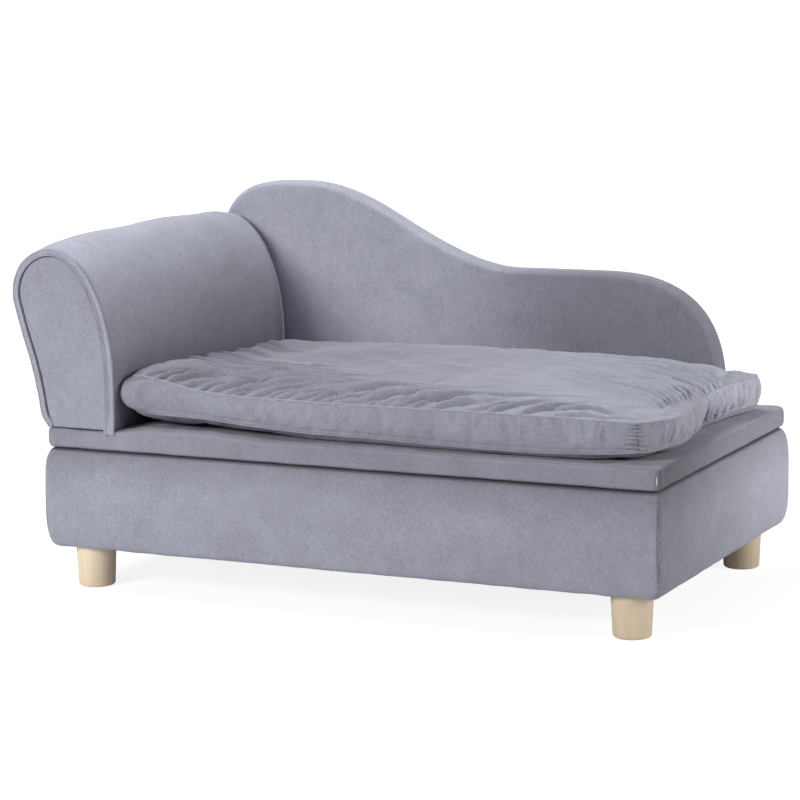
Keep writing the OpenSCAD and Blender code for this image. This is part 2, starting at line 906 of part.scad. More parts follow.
module arm_front_board() {
    color(plywood) placed() arm_end_board(arm_front_y, arm_front_y + arm_board_t);
}

module arm_rear_board() {
    color(plywood) placed() arm_end_board(arm_rear_y - arm_board_t, arm_rear_y);
}

module arm_foot_board() {
    color(plywood) placed() difference() {
        intersection() {
            arm_section(arm_front_y + arm_board_t, arm_rear_y - arm_board_t, arm_core_in, foot_z0);
            slab(base_l, base_d, foot_z0 - over, foot_z1);
        }
        arm_bolt_bores(tee_r + bolt_gap, foot_z0 - over, foot_z1 + over);
    }
}

module arm_rails() {
    color(beech) placed() difference() {
        at_rails() span([-rail_w / 2, arm_front_y + arm_board_t, -rail_w / 2],
            [rail_w / 2, arm_rear_y - arm_board_t, rail_w / 2]);
        at_rails() rail_screw_pair(bolt_gap);
    }
}

// Thin board bent over the edges of the two end boards
module arm_bent_board() {
    color(card) placed() difference() {
        arm_section(arm_front_y, arm_rear_y, arm_bent_in, foot_z0);
        arm_section(arm_front_y - over, arm_rear_y + over, arm_core_in, foot_z0 - over);
    }
}

module arm_foam() {
    color(foam) placed() difference() {
        arm_section(arm_y0 + welt_deep + soft_gap, arm_y1 - welt_deep - soft_gap, arm_foam_in, foot_z0);
        arm_section(arm_y0, arm_y1, arm_bent_in - soft_gap, foot_z0 - over);
    }
}

module arm_end_pad(y0, y1) {
    arm_section(y0, y1, arm_bent_in, foot_z0 + soft_gap);
}

module arm_front_pad() {
    color(foam) placed() arm_end_pad(arm_y0 + cover_t, arm_y0 + cover_t + arm_pad_t);
}

module arm_rear_pad() {
    color(foam) placed() arm_end_pad(arm_y1 - cover_t - arm_pad_t, arm_y1 - cover_t);
}

// Velvet sleeve round the arm, closed under its foot
module arm_cover() {
    color(velvet_light) placed() difference() {
        arm_section(arm_y0 + welt_deep, arm_y1 - welt_deep, 0, arm_z0);
        arm_section(arm_y0, arm_y1, cover_t, foot_z0);
        arm_bolt_bores(arm_bolt_d / 2 + bolt_gap, arm_z0 - over, foot_z0 + over);
    }
}

module arm_front_cover() {
    color(velvet) placed() arm_section(arm_y0, arm_y0 + cover_t, welt_w + soft_gap, arm_z0);
}

module arm_rear_cover() {
    color(velvet) placed() arm_section(arm_y1 - cover_t, arm_y1, welt_w + soft_gap, arm_z0);
}

// Sewn edge up one side, over the roll and down the other
module welt(y0, y1) {
    difference() {
        arm_section(y0, y1, 0, arm_z0);
        arm_section(y0 - over, y1 + over, welt_w, arm_z0 - over);
    }
}

module arm_front_welt() {
    color(velvet_dark) placed() welt(arm_y0 - welt_proud, arm_y0 + welt_deep);
}

module arm_rear_welt() {
    color(velvet_dark) placed() welt(arm_y1 - welt_deep, arm_y1 + welt_proud);
}

module arm_bolts() {
    color(zinc) placed() {
        arm_bolt_bores(bolt_head_r, seat_z0, seat_z0 + bolt_head_h);
        arm_bolt_bores(arm_bolt_d / 2, seat_z0, foot_z1 + arm_bolt_d);
    }
}

module arm_tee_nuts() {
    color(zinc) placed() difference() {
        union() {
            arm_bolt_bores(tee_r, foot_z1 - tee_l, foot_z1);
            arm_bolt_bores(tee_r * 2, foot_z1, foot_z1 + tee_flange_t);
        }
        arm_bolt_bores(arm_bolt_d / 2 + bolt_gap, foot_z0, foot_z1 + tee_flange_t + over);
    }
}

module rail_screws() {
    color(zinc) placed() at_rails() rail_screw_pair();
}

// Back

module back_board() {
    color(plywood) placed() difference() {
        pushed(back_board_y0, back_board_y0 + back_board_t) polygon(drawn_in(back_outline, back_board_in));
        bracket_places() bracket_back_screws(bolt_gap);
    }
}

// Padded slab of the back, drawn in by e, with round edges all along its outline
function back_rings(e) = [
    for (side = [-1, 1])
        for (k = [0 : ring_steps])
            let (
                a = 90 * (side < 0 ? ring_steps - k : k) / ring_steps,
                r = back_round - e / 2
            )
            [back_mid_y + side * (back_t / 2 - e - r + r * sin(a)), e + r * (1 - cos(a))]
];

module padded_back(e) {
    rings = back_rings(e);
    n = len(back_outline);
    last = len(rings) - 1;
    points = [
        for (ring = rings)
            let (outline = drawn_in(back_outline, ring[1]))
            for (p = outline) [p[0], ring[0], p[1]]
    ];
    sides = [
        for (r = [0 : last - 1])
            for (i = [0 : n - 1])
                let (a = r * n + i, b = r * n + (i + 1) % n)
                for (tri = [[a, b, a + n], [b, b + n, a + n]]) tri
    ];
    polyhedron(points = points, faces = concat(
        [[for (i = [n - 1 : -1 : 0]) i]],
        sides,
        [[for (i = [0 : n - 1]) last * n + i]]
    ));
}

// Half of the padding, in front of the middle of the board or behind it
module back_foam_half(side) {
    reach = base_l;
    intersection() {
        difference() {
            padded_back(cover_t + soft_gap);
            pushed(back_board_y0 - soft_gap, back_board_y0 + back_board_t + soft_gap)
                polygon(drawn_in(back_outline, back_board_in - soft_gap));
        }
        span([-reach, min(back_mid_y, back_mid_y + side * back_t), back_z0 - over],
            [reach, max(back_mid_y, back_mid_y + side * back_t), top_z1 + hump_h + over]);
    }
}

module back_front_foam() {
    color(foam) placed() difference() {
        back_foam_half(-1);
        bracket_places() bracket(soft_gap);
    }
}

module back_rear_foam() {
    color(foam) placed() back_foam_half(1);
}

module back_cover() {
    color(velvet) placed() difference() {
        padded_back(0);
        padded_back(cover_t);
        bracket_places() bracket(soft_gap);
    }
}

module back_brackets() {
    color(zinc) placed() bracket_places() difference() {
        bracket();
        bracket_down_screws(bolt_gap);
        bracket_back_screws(bolt_gap);
    }
}

module bracket_screws() {
    color(zinc) placed() bracket_places() {
        bracket_down_screws();
        bracket_back_screws();
    }
}

// Seat cushion, in shares u and v of its half length and half depth

function pillow(u, v) = (1 - pow(abs(u), pillow_power)) * (1 - pow(abs(v), pillow_power));
function front_share(v) = (1 - v) / 2;
function cushion_lift(u, v) =
    seam_lift
    + curl_h * exp(-(u + 1) * cushion_l / 2 / curl_l) * pow(front_share(v), 0.7)
    + corner_rise * max(u, 0) * pow(abs(u * v), 4) * front_share(v);
function cushion_plan(u, v, e) =
    let (
        pull = corner_pull * pow(abs(u * v), 8),
        hx = cushion_l / 2 - e - draw_in * (1 - v * v) * max(u, 0) - pull,
        hy = cushion_d / 2 - e - draw_in * (1 - u * u) * front_share(v) - pull
    )
    [cushion_x + u * hx, cushion_y + v * hy];
function cushion_top(u, v, e) =
    let (p = cushion_plan(u, v, e))
    [p[0], p[1], cushion_z + cushion_lift(u, v) + strip_h + cushion_crown * pillow(u, v) - e];
function cushion_under(u, v, e) =
    let (p = cushion_plan(u, v, e))
    [p[0], p[1], cushion_z + e + max(0, cushion_lift(u, v) - belly * pillow(u, v))];
// A point on the side strip, row k of side_rows down from the upper seam
function cushion_strip(u, v, k, e) =
    let (
        hollow = strip_hollow * sin(180 * k / side_rows),
        top = cushion_top(u, v, e),
        under = cushion_under(u, v, e),
        s = k / side_rows
    )
    [
        top[0] - (abs(u) == 1 ? u * hollow : 0),
        top[1] - (abs(v) == 1 ? v * hollow : 0),
        top[2] + (under[2] - top[2]) * s
    ];

// Grid place of step p on the way round the edge, seen from above
function edge_place(p, nx, ny) =
    p < nx ? [p, 0]
    : p < nx + ny ? [nx, p - nx]
    : p < 2 * nx + ny ? [2 * nx + ny - p, ny]
    : [0, 2 * nx + 2 * ny - p];

// Closed cushion with nx by ny panels on its top and under it
module cushion_form(nx, ny, e) {
    round_trip = 2 * (nx + ny);
    sheet = (nx + 1) * (ny + 1);
    us = [for (i = [0 : nx]) -1 + 2 * i / nx];
    vs = [for (j = [0 : ny]) -1 + 2 * j / ny];
    points = concat(
        [for (j = [0 : ny]) for (i = [0 : nx]) cushion_top(us[i], vs[j], e)],
        [for (j = [0 : ny]) for (i = [0 : nx]) cushion_under(us[i], vs[j], e)],
        [for (k = [1 : side_rows - 1]) for (p = [0 : round_trip - 1])
            let (g = edge_place(p, nx, ny))
            cushion_strip(us[g[0]], vs[g[1]], k, e)]
    );
    function at(k, p) =
        let (q = p % round_trip, g = edge_place(q, nx, ny))
        k == 0 ? g[1] * (nx + 1) + g[0]
        : k == side_rows ? sheet + g[1] * (nx + 1) + g[0]
        : 2 * sheet + (k - 1) * round_trip + q;
    tops = [
        for (j = [0 : ny - 1]) for (i = [0 : nx - 1])
            let (a = j * (nx + 1) + i, b = a + nx + 1)
            for (tri = [[a, b, a + 1], [a + 1, b, b + 1]]) tri
    ];
    unders = [
        for (tri = tops) [sheet + tri[2], sheet + tri[1], sheet + tri[0]]
    ];
    strips = [
        for (k = [0 : side_rows - 1]) for (p = [0 : round_trip - 1])
            let (a = at(k, p), b = at(k, p + 1), c = at(k + 1, p), d = at(k + 1, p + 1))
            for (tri = [[a, b, c], [b, d, c]]) tri
    ];
    polyhedron(points = points, faces = concat(tops, unders, strips));
}

module cushion_cover() {
    color(velvet) placed() difference() {
        cushion_form(long_steps, deep_steps, 0);
        cushion_form(long_steps, deep_steps, cover_t);
    }
}

module cushion_filling() {
    color(wadding) placed() cushion_form(long_steps, deep_steps, cover_t + soft_gap);
}

// Zip

module zip_tape() {
    color(grey_cloth) placed()
        span([zip_x0, zip_y, zip_z - zip_tape_w / 2],
            [zip_x1, zip_y + tape_t, zip_z + zip_tape_w / 2]);
}

module zip_teeth() {
    color(velvet_dark) placed()
        span([zip_x0, zip_y + tape_t, zip_z - zip_teeth_w / 2],
            [zip_x1, teeth_y1, zip_z + zip_teeth_w / 2]);
}

// Slider: a channel over the teeth, with two ears and the pin of the pull tab
module zip_slider() {
    color(zinc) placed() translate([slider_x, 0, zip_z]) {
        difference() {
            span([-slider_l / 2, slider_y0, -slider_h / 2], [slider_l / 2, slider_y1, slider_h / 2]);
            span([-slider_l, slider_y0 - over, -zip_teeth_w / 2 - move_gap],
                [slider_l, teeth_y1 + move_gap, zip_teeth_w / 2 + move_gap]);
        }
        for (s = [-1, 1]) {
            z0 = s * (pull_w / 2 + move_gap) + (s < 0 ? -ear_t : 0);
            span([-ear_r, slider_y1, z0], [ear_r, pull_y, z0 + ear_t]);
            translate([0, pull_y, z0]) cylinder(r = ear_r, h = ear_t);
        }
        translate([0, pull_y, -pull_w / 2 - move_gap]) cylinder(r = pull_pin_r, h = pull_w + 2 * move_gap);
    }
}

// Pull tab: an eye round the pin and a flat tab along the zip
module zip_pull() {
    color(zinc) placed() translate([slider_x, pull_y, zip_z]) difference() {
        union() {
            translate([0, 0, -pull_w / 2]) cylinder(r = pull_eye_r, h = pull_w);
            span([0, -pull_t / 2, -pull_w / 2], [pull_l, pull_t / 2, pull_w / 2]);
        }
        translate([0, 0, -pull_w]) cylinder(r = pull_pin_r + move_gap, h = 2 * pull_w);
        span([pull_l * pull_slot_shares[0], -pull_t, -pull_w / 5],
            [pull_l * pull_slot_shares[1], pull_t, pull_w / 5]);
    }
}

base_floor_board();
base_front_board();
base_back_board();
base_left_board();
base_right_board();
corner_posts();
base_front_pad();
base_back_pad();
base_left_pad();
base_right_pad();
base_cover();
storage_lining();
dust_cloth();
leg_front_left();
leg_front_right();
leg_rear_left();
leg_rear_right();
leg_bolts();
leg_inserts();
floor_screws();
corner_screws();
hinge_base_leaves();
hinge_top_leaves();
hinge_pins();
hinge_base_screws();
hinge_top_screws();
seat_board();
seat_foam();
seat_cover();
seat_lining();
arm_front_board();
arm_rear_board();
arm_foot_board();
arm_rails();
arm_bent_board();
arm_foam();
arm_front_pad();
arm_rear_pad();
arm_cover();
arm_front_cover();
arm_rear_cover();
arm_front_welt();
arm_rear_welt();
arm_bolts();
arm_tee_nuts();
rail_screws();
back_board();
back_front_foam();
back_rear_foam();
back_cover();
back_brackets();
bracket_screws();
cushion_cover();
cushion_filling();
zip_tape();
zip_teeth();
zip_slider();
zip_pull();
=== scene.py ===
"""Looks of a small velvet sofa bed: padded base, top board, rolled arm, humped back and loose cushion.

Metres throughout, +Z up, front towards -Y, with the origin on the floor under the middle of the sofa.
Each soft piece is shaped here round the box of the solid that it stands for.
"""

import json
import math

import bmesh
import bpy
import numpy as np
from mathutils import Matrix, Vector


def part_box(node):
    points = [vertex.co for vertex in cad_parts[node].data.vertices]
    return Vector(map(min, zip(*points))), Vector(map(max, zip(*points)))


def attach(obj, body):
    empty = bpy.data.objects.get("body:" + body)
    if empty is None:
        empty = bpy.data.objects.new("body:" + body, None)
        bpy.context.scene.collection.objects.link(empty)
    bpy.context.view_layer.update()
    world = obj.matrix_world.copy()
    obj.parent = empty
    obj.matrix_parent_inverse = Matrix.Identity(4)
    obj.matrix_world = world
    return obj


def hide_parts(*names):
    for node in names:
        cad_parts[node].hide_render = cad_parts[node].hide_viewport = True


MM = 0.001

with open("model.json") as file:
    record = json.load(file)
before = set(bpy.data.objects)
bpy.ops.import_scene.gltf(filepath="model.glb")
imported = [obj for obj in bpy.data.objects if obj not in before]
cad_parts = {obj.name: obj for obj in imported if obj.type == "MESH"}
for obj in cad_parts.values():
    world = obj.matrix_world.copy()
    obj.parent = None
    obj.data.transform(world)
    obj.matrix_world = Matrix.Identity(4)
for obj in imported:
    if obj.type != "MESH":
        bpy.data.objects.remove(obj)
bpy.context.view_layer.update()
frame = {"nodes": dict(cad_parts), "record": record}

# Where the sofa's big parts lie, from the boxes of their solids
base_low, base_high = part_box("base_cover")
top_low, top_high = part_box("seat_cover")
arm_low, arm_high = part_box("arm_cover")
back_low, back_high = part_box("back_cover")
pad_low, pad_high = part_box("cushion_cover")
MID_X = (base_low.x + base_high.x) / 2
MID_Y = (base_low.y + base_high.y) / 2
HALF_X = (base_high.x - base_low.x) / 2
HALF_Y = (base_high.y - base_low.y) / 2

# Velvet thickness, the shapes of the padded edges, and how far foam stays clear of its cover
VELVET_T = 1.2 * MM
PAD_SLACK = 4.2 * MM
THIN_PAD_SLACK = 1.2 * MM
BASE_CROWN = 6 * MM
BASE_ROUND = 8 * MM
BASE_CORNER_R = 7 * MM
BASE_SAG = 1.6 * MM
SEAM_INSET = 2.6 * MM
BOARD_RIM = 23 * MM
TOP_CROWN = 1.5 * MM
TOP_ROUND = 6 * MM
TOP_CORNER_R = 6 * MM
TOP_FLAP = 30 * MM
# Points along the length, along the depth and round each corner
BASE_COUNTS = (230, 132, 8)
TOP_COUNTS = (184, 106, 8)

# Arm outline
ARM_IN_X = arm_high.x
ARM_Z0 = arm_low.z
ARM_H = arm_high.z - arm_low.z
ARM_ROLL_R = 50.5 * MM
ARM_LEAN = math.radians(14.6)
ARM_SHOULDER = 56 * MM
ROLL_X = arm_low.x + ARM_ROLL_R
ROLL_Z = arm_high.z - ARM_ROLL_R
WELT_W = 7 * MM
PANEL_T = 3.2 * MM
# How far the padded roll stands out, in millimetres, counted from its front end
ARM_FULL = ([0, 20, 60, 100, 170, 280, 340, 388, 404], [0.4, 4.0, 7.4, 8.8, 8.8, 8.6, 6.4, 4.0, 0.6])

# Back outline
HUMP_IN = 127 * MM
SLOPE_L = 280 * MM
LEVEL_L = 105.5 * MM
HUMP_POWER = 3.7
LOW_POWER = 2.6
BACK_ROUND = 6.5 * MM
LOW_BACK_H = 144 * MM
CREASE_X = base_low.x + 122 * MM

# Cushion
STRIP_H = 32 * MM
# Rise of the top close to its seams, and of its pillow form; how much its gathers are deepened
EDGE_SWELL = 2.6 * MM
PILLOW_RISE = 11.8 * MM
GATHERS = 2.9
FILLING_GAP = 9.5 * MM
FILLING_SHARE = (0.985, 0.98, 1.0)
# Where folds cross, they get no deeper than this
FOLD_LIMIT = 2.8 * MM
PAD_X0, PAD_Y0, PAD_Z = pad_low
PAD_X1, PAD_Y1 = pad_high.x, pad_high.y
PAD_L, PAD_D = PAD_X1 - PAD_X0, PAD_Y1 - PAD_Y0
PAD_COUNT_X, PAD_COUNT_Y, PAD_STRIP_ROWS = 180, 108, 16
# Upright seam at the front right corner
CORNER_SEAM_X, CORNER_SEAM_Y = PAD_X1 - 7.0 * MM, PAD_Y0 - 0.5 * MM
# Heights of the front's two seams over the cushion's lowest point, in millimetres, counted from its left end
FRONT_UPPER = ([0, 15, 52, 88, 137, 192, 300, 450, 560, 606],
               [58, 59.5, 55.5, 48.4, 43.9, 43, 42.6, 43.6, 43.2, 42.4])
FRONT_LOWER = ([0, 9, 35, 96, 160, 223, 299, 398, 500, 572, 609],
               [22.5, 20.7, 18.4, 16.4, 11.7, 8.3, 7.4, 5.0, 5.2, 8.6, 11.5])
# The same along the left end, counted from the front
LEFT_UPPER = ([0, 40, 100, 160, 230, 368], [58, 57, 51, 46, 43.5, 43])
LEFT_LOWER = ([0, 50, 120, 200, 368], [22.5, 17, 11, 9, 9])
# How far the right end stands out along both seams, and the swelling beside the arm, counted from the front
RIGHT_UPPER = ([0, 14, 60, 109, 171, 237, 284, 341, 368], [3, 6.2, 19, 13.5, 2.2, -3.5, 0, 9, 11.5])
RIGHT_LOWER = ([0, 14, 50, 101, 149, 217, 245, 306, 342, 368], [4, 4, 7, 9.6, 3.3, -12.5, -9, -1, 8, 12])
ARM_SWELL = ([0, 40, 90, 140, 190, 250, 368], [2, 4, 4.5, 5, 4.5, 5, 0])

# The corner posts step this far into the lining of the storage box
POST_STEP = 38.5 * MM
LINING_T = 0.6 * MM


# Numbers that wander

def drift(points, size, seed, waves=14):
    """Soft unevenness between about -1 and 1, with swells about `size` across."""
    rng = np.random.default_rng(seed)
    turns = rng.normal(size=(waves, 3))
    turns *= (2 * math.pi / size * rng.uniform(0.5, 1.3, waves) / np.linalg.norm(turns, axis=1))[:, None]
    shift = rng.uniform(0, 2 * math.pi, waves)
    return np.sin(points @ turns.T + shift).sum(-1) / math.sqrt(waves)


def rumple(points, *parts):
    """Sum of drifts, each given as its height in millimetres, its size and its seed."""
    return sum(rise * MM * drift(points, size, seed) for rise, size, seed in parts)


def hump(x, middle, width):
    """Smooth bump of height 1."""
    return np.exp(-((x - middle) / width) ** 2)


def ease(x, start, end):
    """Rises smoothly from 0 at start to 1 at end."""
    t = np.clip((x - start) / (end - start), 0, 1)
    return t * t * (3 - 2 * t)


def table_line(x, table):
    """Smooth line through a few chosen points, given in millimetres."""
    places, values = np.array(table[0]) * MM, np.asarray(table[1], float)
    k = np.clip(np.searchsorted(places, x) - 1, 0, len(places) - 2)
    slope = np.gradient(values, places)
    step = places[k + 1] - places[k]
    t = np.clip((x - places[k]) / step, 0, 1)
    return MM * ((2 * t**3 - 3 * t**2 + 1) * values[k] + (t**3 - 2 * t**2 + t) * step * slope[k]
                 + (3 * t**2 - 2 * t**3) * values[k + 1] + (t**3 - t**2) * step * slope[k + 1])


# Meshes

class Cut:
    """One piece in the making: grids of points, sewn together where their edges meet."""

    def __init__(self):
        self.points = []
        self.faces = []
        self.count = 0

    def patch(self, grid, around=False, over=False, flip=False):
        """Adds a grid of points; around joins its last column to its first, over its last row likewise."""
        rows, cols = grid.shape[:2]
        number = np.arange(rows * cols).reshape(rows, cols) + self.count
        if around:
            number = np.concatenate([number, number[:, :1]], 1)
        if over:
            number = np.concatenate([number, number[:1]], 0)
        a, b, c, d = number[:-1, :-1], number[:-1, 1:], number[1:, 1:], number[1:, :-1]
        quads = np.stack([a, d, c, b] if flip else [a, b, c, d], -1).reshape(-1, 4)
        self.points.append(grid.reshape(-1, 3))
        self.faces.extend(quads.tolist())
        self.count += rows * cols

    def cap(self, loop, lift=0.0):
        """Closes a loop of points with a fan round its middle."""
        middle = loop.mean(0) + [0, 0, lift]
        self.patch(np.stack([loop, np.repeat(middle[None], len(loop), 0)]), around=True)

    def mesh(self, name, weld=1e-6):
        """The sewn mesh, with its faces turned outwards."""
        made = bpy.data.meshes.new(name)
        made.from_pydata(np.concatenate(self.points).tolist(), [], self.faces)
        bm = bmesh.new()
        bm.from_mesh(made)
        bmesh.ops.remove_doubles(bm, verts=bm.verts, dist=weld)
        bmesh.ops.dissolve_degenerate(bm, edges=bm.edges, dist=weld)
        bmesh.ops.recalc_face_normals(bm, faces=bm.faces)
        bm.to_mesh(made)
        bm.free()
        return made


def add_piece(name, mesh, body, stuff, nodes=()):
    """Puts a finished mesh in the scene, on its body and in its material."""
    made = bpy.data.objects.new(name, mesh)
    bpy.context.scene.collection.objects.link(made)
    mesh.materials.clear()
    mesh.materials.append(stuff)
    mesh.shade_smooth()
    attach(made, body)
    if nodes:
        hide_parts(*nodes)
    return made


def triples(items, name):
    found = np.empty(len(items) * 3)
    items.foreach_get(name, found)
    return found.reshape(-1, 3)


def coords(mesh):
    return triples(mesh.vertices, "co")


def normals(mesh):
    return triples(mesh.vertex_normals, "vector")


def set_coords(mesh, points):
    mesh.vertices.foreach_set("co", np.ascontiguousarray(points, np.float32).ravel())
    mesh.update()


def push(mesh, height):
    """Moves each point of a mesh along its normal; height is worked out from the points."""
    points = coords(mesh)
    set_coords(mesh, points + normals(mesh) * height(points)[:, None])


def modify(piece, kind, **settings):
    """Works a modifier into a piece's mesh."""
    modifier = piece.modifiers.new(kind.lower(), kind)
    for key, value in settings.items():
        setattr(modifier, key, value)
    graph = bpy.context.evaluated_depsgraph_get()
    made = bpy.data.meshes.new_from_object(piece.evaluated_get(graph), depsgraph=graph)
    piece.modifiers.clear()
    piece.data = made
    made.shade_smooth()


def velvet_skin(name, mesh, body, stuff, node):
    """A tight velvet cover of real thickness, grown inwards, over padding."""
    made = add_piece(name, mesh, body, stuff, [node])
    modify(made, "SOLIDIFY", thickness=VELVET_T, offset=-1)


def tube(cut, line, radius, sides=8, closed=False):
    """Adds a round tube along a line of points; an open one is pointed at its ends."""
    line = np.asarray(line, float)
    ahead = np.roll(line, -1, 0) - np.roll(line, 1, 0)
    if not closed:
        ahead[0], ahead[-1] = line[1] - line[0], line[-1] - line[-2]
    ahead /= np.linalg.norm(ahead, axis=1)[:, None]
    side = np.cross(ahead, [0.0, 0.0, 1.0])
    flat = np.linalg.norm(side, axis=1) < 0.2
    side[flat] = np.cross(ahead[flat], [0.0, 1.0, 0.0])
    side /= np.linalg.norm(side, axis=1)[:, None]
    rise = np.cross(side, ahead)
    turn = np.linspace(0, 2 * math.pi, sides, endpoint=False)
    thick = np.full(len(line), radius)
    if not closed:
        thick[[0, -1]] *= 0.05
    grid = (line[:, None] + thick[:, None, None]
            * (side[:, None] * np.cos(turn)[None, :, None] + rise[:, None] * np.sin(turn)[None, :, None]))
    cut.patch(grid, around=True, over=closed)


def resampled(line, step, closed=False):
    """The same line with points about `step` apart."""
    line = np.asarray(line, float)
    if closed:
        line = np.concatenate([line, line[:1]])
    gaps = np.linalg.norm(np.diff(line, axis=0), axis=1)
    along = np.concatenate([[0], np.cumsum(gaps)])
    wanted = np.linspace(0, along[-1], max(2, int(round(along[-1] / step))) + 1)
    found = np.stack([np.interp(wanted, along, line[:, k]) for k in range(line.shape[1])], 1)
    return found[:-1] if closed else found


def directions(line):
    """Unit steps along a line."""
    ahead = np.gradient(line, axis=0)
    return ahead / np.linalg.norm(ahead, axis=1)[:, None]


def rectangle_ring(half_x, half_y, radius, count_x, count_y, count_r):
    """Points round a rectangle with round corners, the same number for any size."""
    def straight(start, end, count):
        return [(1 - t) * np.array(start) + t * np.array(end) for t in np.arange(count) / count]

    x, y = half_x - radius, half_y - radius
    corners = [(x, -y, -90), (x, y, 0), (-x, y, 90), (-x, -y, 180)]
    sides = [((-x, -half_y), (x, -half_y), count_x), ((half_x, -y), (half_x, y), count_y),
             ((x, half_y), (-x, half_y), count_x), ((-half_x, y), (-half_x, -y), count_y)]
    ring = []
    for side, (cx, cy, angle) in zip(sides, corners):
        ring += straight(*side)
        turn = np.radians(angle + 90 * np.arange(count_r) / count_r)
        ring += [np.array((cx + radius * math.cos(a), cy + radius * math.sin(a))) for a in turn]
    return np.array(ring) + [MID_X, MID_Y]


def stacked_rings(rows, counts):
    """Rings above each other, each given as half length, half depth, corner radius and height.

    counts are the points along its length, along its depth and round each corner.
    """
    total = 2 * (counts[0] + counts[1] + 2 * counts[2])
    return np.array([np.column_stack([rectangle_ring(x, y, r, *counts), np.full(total, z)])
                     for x, y, r, z in rows])


def corner_distance(points, half_x, half_y):
    """How far each point lies, in plan, from the nearest of the four corners."""
    x, y = np.abs(points[:, 0] - MID_X), np.abs(points[:, 1] - MID_Y)
    return np.hypot(np.abs(x - half_x), np.abs(y - half_y))


def swollen_side(half, low, high, crown, edge, steps):
    """Profile of a padded side as pairs of half size and height, from its lower to its upper edge."""
    turn = np.linspace(-math.pi / 2, math.pi / 2, steps)
    middle, rise = (low + high) / 2, (high - low) / 2
    reach = half - edge + (edge + crown) * np.cos(turn) ** 0.62
    return reach, middle + rise * np.sign(turn) * np.abs(np.sin(turn)) ** 0.55


# Materials

class Wire:
    """A value inside a node tree. Sums and products of wires add the nodes that work them out."""

    def __init__(self, tree, socket):
        self.tree = tree
        self.socket = socket

    def __add__(self, other):
        return self.tree.maths("ADD", self, other)

    def __radd__(self, other):
        return self.tree.maths("ADD", other, self)

    def __sub__(self, other):
        return self.tree.maths("SUBTRACT", self, other)

    def __rsub__(self, other):
        return self.tree.maths("SUBTRACT", other, self)

    def __mul__(self, other):
        return self.tree.maths("MULTIPLY", self, other)

    def __rmul__(self, other):
        return self.tree.maths("MULTIPLY", other, self)


class Tree:
    """The nodes of a material or of the surroundings."""

    def __init__(self, owner):
        owner.use_nodes = True
        self.nodes = owner.node_tree.nodes
        self.links = owner.node_tree.links

    def feed(self, socket, value):
        """Gives a socket a wire or a plain value."""
        if isinstance(value, Wire):
            self.links.new(value.socket, socket)
        else:
            socket.default_value = value

    def add(self, kind, settings=None, sockets=None, out=0):
        """Adds a node: its settings first, then the values or wires of its sockets."""
        node = self.nodes.new(kind)
        for key, value in (settings or {}).items():
            setattr(node, key, value)
        for key, value in (sockets or {}).items():
            self.feed(node.inputs[key], value)
        return Wire(self, node.outputs[out])

    def maths(self, operation, first, second):
        return self.add("ShaderNodeMath", {"operation": operation}, {0: first, 1: second})

    def mixed(self, share, first, second):
        """Mix of two shaders."""
        return self.add("ShaderNodeMixShader", None, {0: share, 1: first, 2: second})


class Stuff(Tree):
    """One material, built round a Principled shader."""

    def __init__(self, name, roughness, **fixed):
        self.made = bpy.data.materials.new(name)
        super().__init__(self.made)
        self.shader = self.nodes["Principled BSDF"]
        self.shader.inputs["Roughness"].default_value = roughness
        for socket, value in fixed.items():
            self.shader.inputs[socket.replace("_", " ")].default_value = value
        self.place = self.add("ShaderNodeTexCoord", out="Object")

    def scaled(self, x, y, z):
        """The place on the object, counted in lengths of x, y and z metres."""
        return self.add("ShaderNodeVectorMath", {"operation": "MULTIPLY"},
                        {0: self.place, 1: (1 / x, 1 / y, 1 / z)})

    def noise(self, x, y, z, detail=3.0, rough=0.5, bend=0.0):
        """Cloudy value from 0 to 1, one cloud about x by y by z metres."""
        return self.add("ShaderNodeTexNoise", None,
                        {"Vector": self.scaled(x, y, z), "Scale": 1.0, "Detail": detail, "Roughness": rough,
                         "Distortion": bend}, out="Fac")

    def cells(self, x, y, z, randomness=1.0):
        """Distance to the nearest of many spots, about x, y and z metres apart."""
        return self.add("ShaderNodeTexVoronoi", {"feature": "F1"},
                        {"Vector": self.scaled(x, y, z), "Scale": 1.0, "Randomness": randomness},
                        out="Distance")

    def bands(self, direction, x, y, z, bend=0.0):
        """Even bands, about one to each length."""
        return self.add("ShaderNodeTexWave", {"bands_direction": direction},
                        {"Vector": self.scaled(x, y, z), "Scale": 0.31, "Distortion": bend}, out="Fac")

    def span(self, value, low, high, to_low=0.0, to_high=1.0):
        """Value between low and high, spread smoothly over to_low to to_high."""
        return self.add("ShaderNodeMapRange", {"interpolation_type": "SMOOTHSTEP"},
                        {"Value": value, "From Min": low, "From Max": high,
                         "To Min": to_low, "To Max": to_high})

    def part(self, wire, axis):
        """One axis of a place or a direction."""
        return self.add("ShaderNodeSeparateXYZ", None, {0: wire}, out=axis)

    def colour(self, share, first, second, painted_light=()):
        """Colours the shader with a mix of two colours, scaled by painted light and shade; see `velvet` for
        the terms of painted_light.
        """
        mix = self.add("ShaderNodeMix", {"data_type": "RGBA"},
                       {0: share, 6: (*first, 1), 7: (*second, 1)}, out=2)
        # Each entry scales the colour along an axis: painted light and shade
        for axis, start, end, factor_start, factor_end, *facing in painted_light:
            factor = self.span(self.part(self.place, axis), start, end, factor_start, factor_end)
            if facing:
                towards, little, much = facing
                turned = self.part(self.add("ShaderNodeTexCoord", out="Normal"), towards)
                factor = 1 + self.span(turned, little, much) * (factor - 1)
            mix = self.add("ShaderNodeVectorMath", {"operation": "SCALE"}, {0: mix, "Scale": factor})
        self.feed(self.shader.inputs["Base Color"], mix)

    def rough(self, wire):
        self.feed(self.shader.inputs["Roughness"], wire)

    def bump(self, height, depth, strength=1.0):
        """Fine relief, `depth` metres high."""
        relief = self.add("ShaderNodeBump", None, {"Height": height, "Distance": depth, "Strength": strength},
                          out="Normal")
        self.feed(self.shader.inputs["Normal"], relief)


